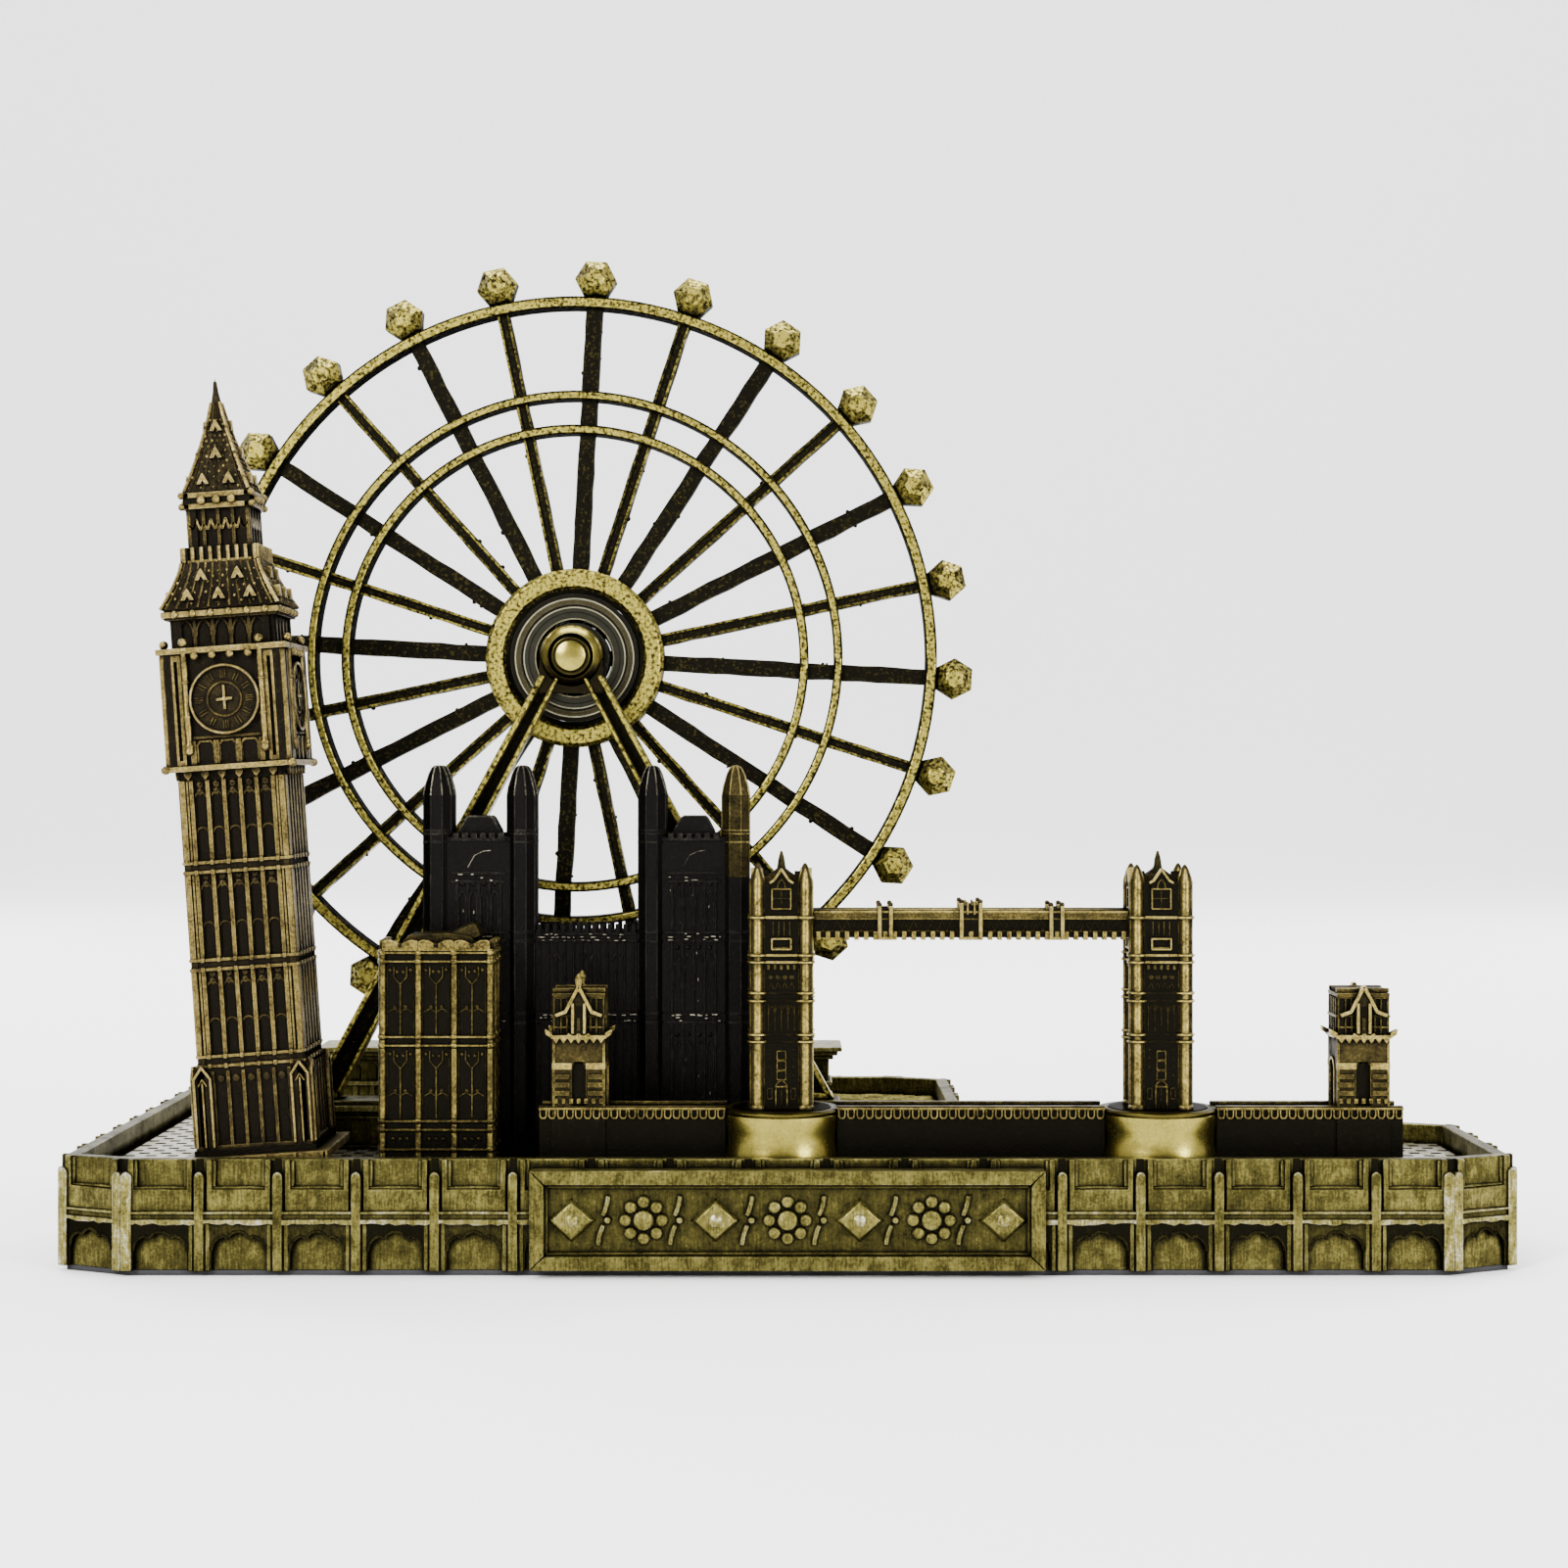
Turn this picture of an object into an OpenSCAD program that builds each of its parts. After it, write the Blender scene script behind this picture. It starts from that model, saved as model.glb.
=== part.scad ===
// Miniature city skyline: landmark castings on an arcaded tray, with a spinning observation wheel.
// Millimetres, +Z up, -Y is the front. The origin is the middle of the footprint, on the surface
// that the model stands on. Setbacks are measured back from the front wall face of the base.

/* [Base tray] */
// Width of the base
base_w = 167; // [160:1:174]
// Depth of the deep left part, front wall face to back wall face
base_d = 87.25; // [84:0.25:92]
// Depth of the shallow right wing
wing_d = 36; // [34:0.5:38]
// Right side of the deep part, from the middle of the base
deep_right = 23.6; // [22:0.1:26]
// Width of each cut corner
corner_w = 8.15; // [6:0.05:9]
// Depth of each cut corner
corner_d = 4.3; // [3:0.1:5]
// Height of the rim
rim_top = 13.2; // [12.8:0.1:14]
// Height of the deck that the castings stand on
deck_top = 10.7; // [10.2:0.1:11]
// Thickness of the deck
deck_thick = 1.8; // [1.5:0.1:2.2]
// Thickness of the side walls
wall = 2.4; // [2:0.1:2.6]
// Thickness of the felt under the base
felt_thick = 0.6; // [0.4:0.1:1]
// How far the pilasters and the ledge stand out of the wall
relief = 0.7; // [0.4:0.1:0.9]
// Wanted distance between pilasters
bay = 8.87; // [8:0.01:10]

/* [Name plate] */
// Width of the plate
plate_w = 58; // [50:1:60]
// Height of the plate
plate_h = 11.25; // [10:0.05:11.4]
// Height of the plate's lower edge above the table
plate_low = 0.95; // [0.8:0.05:1.1]
// How far the plate stands out of the front wall
plate_proud = 1.75; // [1.5:0.05:2]
// Width of the raised border
plate_border = 1.7; // [1.2:0.1:2]

/* [Observation wheel] */
// Wheel axis, left of the middle of the base
wheel_left = 26.55; // [26:0.05:27]
// Height of the wheel axis
wheel_z = 71.2; // [71:0.1:72]
// Setback of the front faces of the wheel's rings
wheel_setback = 34; // [34:0.1:35]
// Depth of the rings
ring_depth = 3.8; // [3:0.1:4]
// Depth of the hub ring
hub_depth = 5.4; // [5.2:0.1:5.6]
// Number of passenger pods
pods = 24; // [16:2:24]
// Radius of the circle through the pods
pod_circle = 47.5; // [47:0.1:48]
// Width of a pod across its flats
pod_flats = 4.5; // [4:0.1:4.6]
// Angle of the first pod at rest, from the right-hand side
pod_phase = 86.9; // [80:0.1:95]

/* [Bearing] */
// Outside radius of the ball bearing
bearing_r = 8; // [8:8]
// Bore radius of the ball bearing
axle_r = 2.5; // [2.5:2.5]
// Width of the ball bearing
bearing_w = 5; // [5:5]
// Number of balls
balls = 8; // [7:1:8]

/* [Wheel frame] */
// Distance from the wheel axis to the outer side of each foot
foot_reach = 32.3; // [31:0.1:32.5]
// Width of a foot along the platform
foot_w = 3.65; // [3:0.05:4]
// Height of the low platform under the feet
platform_top = 16.8; // [16:0.1:17.5]
// Height of the boarding block behind the wheel
boarding_top = 21.8; // [20:0.1:22.5]

/* [Clock tower] */
// Foot of the tower, left of the middle of the base
clock_left = 60.8; // [60:0.1:61]
// Lean of the tower to the left, in degrees
clock_lean = 3.9; // [0:0.1:4]
// Radius of a dial
dial_r = 4.05; // [3.5:0.05:4.3]

/* [Abbey] */
// Width of each abbey tower
abbey_tower_w = 13.5; // [12:0.1:14]
// Depth of the abbey towers
abbey_depth = 7.2; // [6:0.1:7.2]
// Height of the turret points
abbey_top = 57.7; // [55:0.1:60]

/* [Bridge] */
// Middle of the bridge, right of the middle of the base
bridge_x = 21.2; // [20:0.1:22]
// Distance between the two bridge towers
tower_pitch = 43.8; // [43:0.1:45]
// Width of a bridge tower across its turrets
tower_w = 7.45; // [7:0.05:8]
// Radius of the river piers
pier_r = 7; // [6:0.1:7.1]
// Height of the parapets
parapet_top = 18.4; // [18:0.1:19]

/* [Hidden] */
$fn = 64;
eps = 0.01;

overall_d = base_d + plate_proud;
wheel_x = -wheel_left;
deck_under = deck_top - deck_thick;
hub_setback = wheel_setback + ring_depth / 2 - hub_depth / 2;
bearing_setback = wheel_setback + ring_depth / 2 - bearing_w / 2;

// Base walls
pilaster_w = 1.1;
pilaster_top = 11.8;
ledge_low = 5.9;
ledge_h = 1.4;
plinth_h = 0.9;
plate_recess = 0.9;
rosette_r = 2.2;

// Wheel rings, as [outer radius, inner radius]
rings = [[45.3, 43.9], [33.5, 32.4], [29.25, 28.1]];
hub_r = 11.14;
lap = 0.3;
spoke_setback = wheel_setback + 0.8;
spoke_depth = 2.2;
wide_spoke_w = 1.9;
narrow_spoke_w = 1.5;
pod_depth = 5;

// Ball bearing
ball_r = 1.375;
race_clearance = 0.025;
pitch_r = 5.35;
inner_ring_r = 4.36;
outer_land_r = 6.3;
shield_r = 6.65;
shield_bore_r = 4.8;
shield_thick = 0.3;
shield_inset = 0.1;
cage_in_r = 4.75;
cage_out_r = 5.95;
cage_front = 0.3;
cage_back = 1.8;
pocket_gap = 0.05;

// Wheel frame
leg_top_x = 3.9;
leg_top_w = 2.65;
leg_top_drop = 2.4;
leg_setback = 27.2;
leg_thick = 3.2;
leg_bar = 0.8;
leg_recess = 2.2;
boss_setback = 27;
boss_depth = 4.5;
boss_r = 3.9;
axle_head_r = 2;
axle_head = 0.9;
cap_r = 4;
cap_thick = 1.4;
platform_setback = 25.8;
platform_depth = 5.6;
boarding_setback = 41;
boarding_depth = 10;
boarding_half = 33;
step = 0.55;

// Clock tower, each stage as [width at foot, width at top, height] from the deck up
clock_setback = 12;
clock_stages = [[14, 14, 12.9], [12.6, 12.1, 34.4], [14.4, 14.4, 13.3], [12, 12, 3.8], [13.6, 13.6, 1]];
spire_stages = [[13.6, 8.9, 5.4], [8.9, 8.4, 1.7], [7.4, 7.4, 4.2], [8, 8, 1.9], [7.4, 0.4, 12.8]];
dial_height = 54.8;
dial_thick = 0.5;
dial_seat = 0.4;
clock_face_w = 14.4;
clock_strings = [12.9, 24.3, 35.5];
clock_string_w = 13.2;
clock_string_h = 0.9;
mullion_pitch = 2.2;
mullion_w = 0.5;
mullion_depth = 0.6;
mullion_face = 6.35;
mullion_top = 46.9;

// Abbey
abbey_setback = 18;
abbey_left_x = -36.9;
abbey_right_x = -11.2;
nave_top = 38.8;
wall_head = 49.2;
nave_step = 0.8;
merlon = 1;
// Roofs as [width at foot, width at top, height]
abbey_roof = [6, 3.6, 2.4];
abbey_wall_step = 0.6;
turret_r = 1.75;
turret_shoulder = 54.2;
chapel_w = 13.65;
chapel_x = -40.95;
chapel_setback = 10;
chapel_top = 37.6;
chapel_head = chapel_top - 1;
chapel_pier = 1.6;
chapel_courses = [12.5, 25, 34.6];
chapel_roof = [7.5, 1, 3.8];

// Bridge
pier_top = 18;
bridge_courses = [24, 28.6, 33.4, 38.2, 42.2];
course_h = 0.5;
bridge_spike = 47.8;
walkway_post_pitch = 9.9;
gate_foot = 17;
gate_cornice = 25.8;
cornice_h = 1.1;
bridge_setback = 7;
road_w = 6;
road_top = 17;
parapet_thick = 1;
road_half = 49.9;
bridge_mid_setback = bridge_setback + road_w / 2;
tower_head = 43;
turret_top = 46.3;
bridge_turret_r = 0.95;
walkway_low = 37.6;
walkway_high = 41;
walkway_thick = 1.5;
walkway_inset = 0.75;
gate_w = 6.8;
gate_offset = 45.3;
gate_roof = 29.4;
gate_top = 32.6;
gate_ridge = 2.4;

// Screws, as [x, setback] of each one
screw_r = 1.4;
screw_head_r = 2.6;
screw_head = 1.8;
screw_bite = 3.4;
screw_slot_l = 3;
screw_slot_w = 0.6;
screw_places = [
    [-clock_left, clock_setback], [abbey_left_x, abbey_setback + abbey_depth / 2],
    [abbey_right_x, abbey_setback + abbey_depth / 2], [chapel_x, 13.5],
    for (side = [-1, 1]) each [
        [bridge_x + side * tower_pitch / 2, bridge_mid_setback],
        [bridge_x + side * gate_offset, bridge_mid_setback],
        [wheel_x + side * 28, platform_setback + platform_depth / 2],
        [wheel_x + side * 24, boarding_setback + boarding_depth / 2]]];
peg_r = 1;
peg_x = 22;

// Y of a plane that lies d behind the front wall face
function at(d) = d - overall_d / 2 + plate_proud;

// Outline of the base, counter-clockwise from the front left, drawn g inside the wall faces
function base_outline(g) =
    let (l = base_w / 2, cx = corner_w, cy = corner_d, k = g * 0.45)
    [[-l + cx + k, at(g)], [l - cx - k, at(g)], [l - g, at(cy + k)], [l - g, at(wing_d - cy - k)],
     [l - cx - k, at(wing_d - g)], [deep_right - g, at(wing_d - g)], [deep_right - g, at(base_d - cy - k)],
     [deep_right - cx - k, at(base_d - g)], [-l + cx + k, at(base_d - g)], [-l + g, at(base_d - cy - k)],
     [-l + g, at(cy + k)]];

// A block by its middle x, setback of its front face, foot height and size
module block(x, setback, z, w, d, h) {
    translate([x - w / 2, at(setback), z]) cube([w, d, h]);
}

// Draws its children on an upright plane: x right, y up, and z towards the front
module upright(x, setback, z) {
    translate([x, at(setback), z]) rotate([90, 0, 0]) children();
}

// A square frustum on its middle, with exact flat sides
module taper(w_low, w_high, h) {
    profile = [[-w_low / 2, 0], [w_low / 2, 0], [w_high / 2, h], [-w_high / 2, h]];
    intersection() {
        rotate([90, 0, 0]) linear_extrude(w_low + 1, center = true) polygon(profile);
        rotate([90, 0, 90]) linear_extrude(w_low + 1, center = true) polygon(profile);
    }
}

// A ring whose front face is at z = 0 and whose body runs to -depth
module ring(r_out, r_in, depth) {
    translate([0, 0, -depth]) difference() {
        cylinder(r = r_out, h = depth);
        translate([0, 0, -1]) cylinder(r = r_in, h = depth + 2);
    }
}

// Shanks of all the screws, which their holes are cut with
module screw_shanks() {
    for (p = screw_places)
        translate([p[0], at(p[1]), deck_under - eps]) cylinder(r = screw_r, h = deck_thick + screw_bite);
}

// Pilasters stand on the outer side of the wall, which is on the right of the way from a to b
module pilasters(a, b) {
    run = b - a;
    count = max(1, round(norm(run) / bay));
    translate([a[0], a[1], felt_thick]) rotate([0, 0, atan2(run[1], run[0])])
        for (i = [0:count - 1])
            translate([(i + 0.5) * norm(run) / count - pilaster_w / 2, 0.1 - relief, 0])
                cube([pilaster_w, relief, pilaster_top - felt_thick]);
}

module base_casting() {
    outline = base_outline(relief);
    color("darkolivegreen") difference() {
        union() {
            translate([0, 0, felt_thick]) linear_extrude(rim_top - felt_thick) polygon(outline);
            translate([0, 0, ledge_low]) linear_extrude(ledge_h) polygon(base_outline(0.1));
            translate([0, 0, felt_thick]) linear_extrude(plinth_h) polygon(base_outline(0));
            for (i = [0:len(outline) - 1])
                pilasters(outline[i], outline[(i + 1) % len(outline)]);
        }
        translate([0, 0, deck_top]) linear_extrude(rim_top) polygon(base_outline(wall));
        translate([0, 0, -1]) linear_extrude(deck_under + 1) polygon(base_outline(wall));
        screw_shanks();
        for (x = [-peg_x, peg_x])
            upright(x, 0, plate_low + plate_h / 2)
                translate([0, 0, -2 * wall]) cylinder(r = peg_r, h = 3 * wall);
        block(0, -1, plate_low, plate_w, 1 + relief, plate_h);
    }
}

module base_felt() {
    color("dimgray") linear_extrude(felt_thick) polygon(base_outline(0.5));
}

module name_plate() {
    color("olive") {
        difference() {
            block(0, -plate_proud, plate_low, plate_w, plate_proud + relief, plate_h);
            block(0, -plate_proud - 1, plate_low + plate_border, plate_w - 2 * plate_border,
                1 + plate_recess, plate_h - 2 * plate_border);
        }
        for (x = [-peg_x, peg_x])
            upright(x, relief, plate_low + plate_h / 2)
                translate([0, 0, relief - wall]) cylinder(r = peg_r, h = wall - relief);
        for (i = [-2:2])
            upright(i * plate_w / 6, plate_recess - plate_proud, plate_low + plate_h / 2)
                cylinder(r = rosette_r, h = plate_recess / 2, $fn = 8);
    }
}

module fixing_screws() {
    color("silver") {
        intersection() {
            screw_shanks();
            translate([0, 0, deck_under]) linear_extrude(rim_top) square(2 * base_w, center = true);
        }
        for (p = screw_places)
            translate([p[0], at(p[1]), deck_under - screw_head]) difference() {
                cylinder(r = screw_head_r, h = screw_head);
                translate([0, 0, -1]) linear_extrude(2)
                    for (a = [0, 90]) rotate(a) square([screw_slot_l, screw_slot_w], center = true);
            }
    }
}

// Height at which stage n of a list of stages begins
function stage_foot(stages, n) = n == 0 ? 0 : stage_foot(stages, n - 1) + stages[n - 1][2];

// Places its children in the clock tower's own leaning frame, which starts at the deck
module clock_frame() {
    translate([-clock_left, at(clock_setback), deck_top]) rotate([0, -clock_lean, 0]) children();
}

module stack(stages) {
    for (n = [0:len(stages) - 1])
        translate([0, 0, stage_foot(stages, n)]) taper(stages[n][0], stages[n][1], stages[n][2]);
}

// The four dials, or with a longer depth the seats that they sit in
module dials(depth) {
    translate([0, 0, dial_height])
        for (a = [0:90:270])
            rotate([90, 0, a])
                translate([0, 0, clock_face_w / 2 - dial_seat]) cylinder(r = dial_r, h = depth);
}

module clock_tower() {
    mullions = 6;
    first_string = clock_strings[0];
    color("saddlebrown") difference() {
        union() {
            clock_frame() {
                translate([0, 0, -1]) taper(clock_stages[0][0], clock_stages[0][0], 1 + eps);
                stack(clock_stages);
                for (z = clock_strings)
                    translate([0, 0, z]) taper(clock_string_w, clock_string_w, clock_string_h);
                for (a = [0:90:270], i = [0:mullions - 1])
                    rotate([0, 0, a])
                        translate([(i - (mullions - 1) / 2) * mullion_pitch - mullion_w / 2,
                            -mullion_face, first_string])
                            cube([mullion_w, mullion_depth, mullion_top - first_string]);
            }
        }
        clock_frame() dials(2);
        translate([0, 0, -deck_top]) linear_extrude(2 * deck_top) square(2 * base_w, center = true);
        screw_shanks();
    }
}

module clock_spire() {
    color("peru") clock_frame()
        translate([0, 0, stage_foot(clock_stages, len(clock_stages))]) stack(spire_stages);
}

module clock_dials() {
    color("gold") clock_frame() dials(dial_thick);
}

// One abbey tower: a walled block, four turrets with conical points and a low roof
module abbey_tower(x) {
    corner = abbey_tower_w / 2 - turret_r;
    middle = at(abbey_setback + abbey_depth / 2);
    reach = abbey_depth / 2 - turret_r;
    color([0.12, 0.11, 0.09]) difference() {
        union() {
            block(x, abbey_setback, deck_top, abbey_tower_w - 2 * abbey_wall_step, abbey_depth,
                wall_head - deck_top);
            translate([x, middle, wall_head]) taper(abbey_roof[0], abbey_roof[1], abbey_roof[2]);
            for (sx = [-1, 1], sy = [-1, 1])
                translate([x + sx * corner, middle + sy * reach, deck_top]) {
                    cylinder(r = turret_r, h = turret_shoulder - deck_top, $fn = 8);
                    translate([0, 0, turret_shoulder - deck_top])
                        cylinder(r1 = turret_r - 0.15, r2 = 0.2, h = abbey_top - turret_shoulder);
                }
        }
        screw_shanks();
    }
}

module abbey_tower_left() {
    abbey_tower(abbey_left_x);
}

module abbey_tower_right() {
    abbey_tower(abbey_right_x);
}

module abbey_nave() {
    gap = abbey_right_x - abbey_left_x - abbey_tower_w;
    middle = (abbey_left_x + abbey_right_x) / 2;
    merlons = 7;
    front = abbey_setback + nave_step;
    foot = nave_top - merlon;
    color([0.12, 0.11, 0.09]) {
        block(middle, front, deck_top, gap, abbey_depth - 2 * nave_step, foot - deck_top);
        for (i = [0:merlons - 1])
            block(middle + (i - (merlons - 1) / 2) * gap / merlons, front, foot,
                merlon - 0.1, merlon, merlon);
    }
}

module abbey_chapel() {
    depth = abbey_setback - chapel_setback;
    color([0.35, 0.28, 0.1]) difference() {
        union() {
            block(chapel_x, chapel_setback + 0.5, deck_top, chapel_w - 1, depth - 0.5,
                chapel_head - deck_top);
            for (z = chapel_courses)
                block(chapel_x, chapel_setback + 0.2, z, chapel_w - 0.4, depth - 0.2, 1);
            for (i = [0:3])
                block(chapel_x + (i - 1.5) * (chapel_w - chapel_pier) / 3, chapel_setback, deck_top,
                    chapel_pier, 1.5, chapel_top - deck_top);
            translate([chapel_x, at(chapel_setback + depth / 2), chapel_head])
                taper(chapel_roof[0], chapel_roof[1], chapel_roof[2]);
        }
        screw_shanks();
    }
}

// A column of height h on the deck under bridge tower number side, -1 or 1
module pier_column(side, h) {
    translate([bridge_x + side * tower_pitch / 2, at(bridge_mid_setback), deck_top])
        cylinder(r = pier_r, h = h);
}

module bridge_pier(side) {
    color("goldenrod") difference() {
        pier_column(side, pier_top - deck_top);
        screw_shanks();
    }
}

module bridge_pier_left() {
    bridge_pier(-1);
}

module bridge_pier_right() {
    bridge_pier(1);
}

// A stretch of road between two parapets, from x0 to x1, cut to fit round the piers
module road(x0, x1) {
    middle = (x0 + x1) / 2;
    color([0.16, 0.14, 0.08]) difference() {
        block(middle, bridge_setback, deck_top, x1 - x0, road_w, parapet_top - deck_top);
        block(middle, bridge_setback + parapet_thick, road_top, x1 - x0 + 2, road_w - 2 * parapet_thick, 5);
        for (side = [-1, 1]) {
            pier_column(side, parapet_top);
            block(bridge_x + side * gate_offset, bridge_setback - 1, gate_foot, gate_w, road_w + 2, 5);
        }
        screw_shanks();
    }
}

module bridge_road_left() {
    road(bridge_x - road_half, bridge_x - tower_pitch / 2);
}

module bridge_road_middle() {
    road(bridge_x - tower_pitch / 2, bridge_x + tower_pitch / 2);
}

module bridge_road_right() {
    road(bridge_x + tower_pitch / 2, bridge_x + road_half);
}

// A bridge tower with a turret at each corner and a steep roof
module bridge_tower(side) {
    core = tower_w - 1;
    reach = tower_w / 2 - bridge_turret_r;
    color("darkgoldenrod") translate([bridge_x + side * tower_pitch / 2, at(bridge_mid_setback), pier_top]) {
        translate([-core / 2, -core / 2, 0]) cube([core, core, tower_head - pier_top]);
        for (z = bridge_courses)
            translate([-tower_w / 2, -tower_w / 2, z - pier_top]) cube([tower_w, tower_w, course_h]);
        translate([0, 0, tower_head - pier_top]) {
            taper(core, 1.4, turret_top - tower_head);
            cylinder(r = 0.5, h = bridge_spike - tower_head);
        }
        for (sx = [-1, 1], sy = [-1, 1])
            translate([sx * reach, sy * reach, 0]) {
                cylinder(r = bridge_turret_r, h = tower_head - pier_top);
                translate([0, 0, tower_head - pier_top])
                    cylinder(r1 = bridge_turret_r, r2 = 0.15, h = turret_top - tower_head);
            }
    }
}

module bridge_tower_left() {
    bridge_tower(-1);
}

module bridge_tower_right() {
    bridge_tower(1);
}

// A high walkway between the towers, with its three framed posts
module walkway(setback) {
    span = tower_pitch - tower_w;
    color("darkgoldenrod") {
        block(bridge_x, setback + 0.3, walkway_low, span, walkway_thick - 0.6, walkway_high - walkway_low);
        block(bridge_x, setback, walkway_high - 0.8, span, walkway_thick, 0.8);
        block(bridge_x, setback, walkway_low + 1.4, span, walkway_thick, 0.4);
        for (i = [-1:1])
            block(bridge_x + i * walkway_post_pitch, setback, walkway_low + 1.8, i == 0 ? 2.6 : 1.9,
                walkway_thick, walkway_high - walkway_low - 1.1 + (i == 0 ? 0.5 : 0));
    }
}

module bridge_walkway_front() {
    walkway(bridge_mid_setback - tower_w / 2 + walkway_inset);
}

module bridge_walkway_rear() {
    walkway(bridge_mid_setback + tower_w / 2 - walkway_inset - walkway_thick);
}

// A gatehouse at an end of the bridge, with a gabled roof across the road
module bridge_gate(side) {
    middle = bridge_x + side * gate_offset;
    low_h = gate_cornice - gate_foot;
    color("darkgoldenrod") difference() {
        union() {
            block(middle, bridge_setback + 0.3, gate_foot, gate_w - 0.8, road_w - 0.6, low_h);
            block(middle, bridge_setback - 0.2, gate_cornice, gate_w, road_w + 0.4, cornice_h);
            block(middle, bridge_setback + 0.6, gate_cornice + cornice_h, gate_w - 1.8, road_w - 1.2,
                gate_roof - gate_cornice - cornice_h);
            translate([middle, at(bridge_setback + road_w / 2), gate_roof])
                taper(road_w - 0.8, gate_ridge, gate_top - gate_roof);
        }
        screw_shanks();
    }
}

module bridge_gate_left() {
    bridge_gate(-1);
}

module bridge_gate_right() {
    bridge_gate(1);
}

module wheel_platform() {
    color("darkolivegreen") difference() {
        union() {
            block(wheel_x, platform_setback, deck_top, 2 * boarding_half, platform_depth,
                platform_top - deck_top);
            block(wheel_x, platform_setback - step, platform_top - 2 * step, 2 * (boarding_half + step),
                platform_depth, step);
        }
        screw_shanks();
    }
}

module boarding_block() {
    body_top = boarding_top - 3 * step;
    color("darkolivegreen") difference() {
        union() {
            block(wheel_x, boarding_setback + 3 * step, deck_top, 2 * (boarding_half - 2 * step),
                boarding_depth - 6 * step, body_top - deck_top);
            for (i = [0:2])
                block(wheel_x, boarding_setback + (2 - i) * step, body_top + i * step,
                    2 * (boarding_half - (1 - i) * step), boarding_depth - 2 * (2 - i) * step, step);
            block(wheel_x, boarding_setback + 2.5 * step, platform_top, 2 * (boarding_half - 1.5 * step),
                boarding_depth - 5 * step, step);
        }
        screw_shanks();
    }
}

// Outline of the right-hand leg in front view, measured from the wheel axis, drawn g inside its sides
function leg_outline(g) =
    let (drop = wheel_z - platform_top, lean = atan2(foot_reach - leg_top_x, drop - leg_top_drop),
         side = g / cos(lean))
    [[leg_top_x - side, -leg_top_drop], [leg_top_x - leg_top_w + side, -leg_top_drop],
     [foot_reach - foot_w + side, -drop], [foot_reach - side, -drop]];

// One leg of the frame, a channel that is open at the front; side is -1 or 1
module frame_leg(side) {
    color("goldenrod") upright(wheel_x, leg_setback, wheel_z) mirror([side < 0 ? 1 : 0, 0, 0])
    difference() {
        translate([0, 0, -leg_thick]) linear_extrude(leg_thick) polygon(leg_outline(0));
        translate([0, 0, -leg_recess]) linear_extrude(leg_recess + 1) intersection() {
            polygon(leg_outline(leg_bar));
            translate([0, leg_bar - wheel_z + platform_top]) square([2 * foot_reach, wheel_z]);
        }
        translate([0, 0, -2 * leg_thick]) cylinder(r = boss_r, h = 3 * leg_thick);
    }
}

module frame_leg_left() {
    frame_leg(-1);
}

module frame_leg_right() {
    frame_leg(1);
}

module frame_boss() {
    color("darkgoldenrod") upright(wheel_x, boss_setback, wheel_z) {
        ring(boss_r, axle_r, boss_depth);
    }
}

module axle_spacer() {
    color("silver") upright(wheel_x, boss_setback + boss_depth, wheel_z)
        ring(inner_ring_r - 0.6, axle_r, bearing_setback - boss_setback - boss_depth);
}

module axle_pin() {
    color("gray") upright(wheel_x, boss_setback, wheel_z) {
        translate([0, 0, boss_setback - bearing_setback - bearing_w])
            cylinder(r = axle_r, h = bearing_setback + bearing_w - boss_setback);
        cylinder(r = axle_head_r, h = axle_head);
    }
}

module axle_cap() {
    color("dimgray") upright(wheel_x, bearing_setback + bearing_w, wheel_z) {
        translate([0, 0, -cap_thick]) cylinder(r = cap_r, h = cap_thick);
    }
}

module wheel_casting() {
    pod_r = pod_flats / 2 / cos(30);
    color("gold") upright(wheel_x, wheel_setback, wheel_z) difference() {
        union() {
            for (r = rings)
                ring(r[0], r[1], ring_depth);
            translate([0, 0, wheel_setback - hub_setback]) cylinder_back(hub_r, hub_depth);
            for (i = [0:pods - 1]) {
                spoke_w = i % 2 == 0 ? wide_spoke_w : narrow_spoke_w;
                rotate(pod_phase + i * 360 / pods) {
                    translate([hub_r - lap, -spoke_w / 2, wheel_setback - spoke_setback - spoke_depth])
                        cube([rings[0][1] - hub_r + 2 * lap, spoke_w, spoke_depth]);
                    translate([pod_circle, 0, (pod_depth - ring_depth) / 2 - pod_depth]) rotate(30)
                        cylinder(r = pod_r, h = pod_depth, $fn = 6);
                }
            }
        }
        translate([0, 0, -2 * hub_depth]) cylinder(r = bearing_r, h = 4 * hub_depth);
    }
}

// A cylinder whose front face is at z = 0
module cylinder_back(r, depth) {
    translate([0, 0, -depth]) cylinder(r = r, h = depth);
}

// Draws its children about the bearing's centre, with z along the axle towards the front
module bearing_frame() {
    upright(wheel_x, bearing_setback + bearing_w / 2, wheel_z) children();
}

// The groove that the balls run in
module race() {
    rotate_extrude() translate([pitch_r, 0]) circle(r = ball_r + race_clearance);
}

module bearing_inner_ring() {
    color("lightgray") bearing_frame() difference() {
        translate([0, 0, bearing_w / 2]) ring(inner_ring_r, axle_r, bearing_w);
        race();
    }
}

module bearing_outer_ring() {
    lip = shield_thick + shield_inset;
    color("lightgray") bearing_frame() difference() {
        translate([0, 0, bearing_w / 2]) ring(bearing_r, outer_land_r, bearing_w);
        race();
        for (side = [0, 1])
            mirror([0, 0, side]) translate([0, 0, bearing_w / 2 - lip]) cylinder(r = shield_r, h = 1);
    }
}

module bearing_shields() {
    color("darkgray") bearing_frame()
        for (side = [0, 1])
            mirror([0, 0, side])
                translate([0, 0, bearing_w / 2 - shield_inset]) ring(shield_r, shield_bore_r, shield_thick);
}

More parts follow.
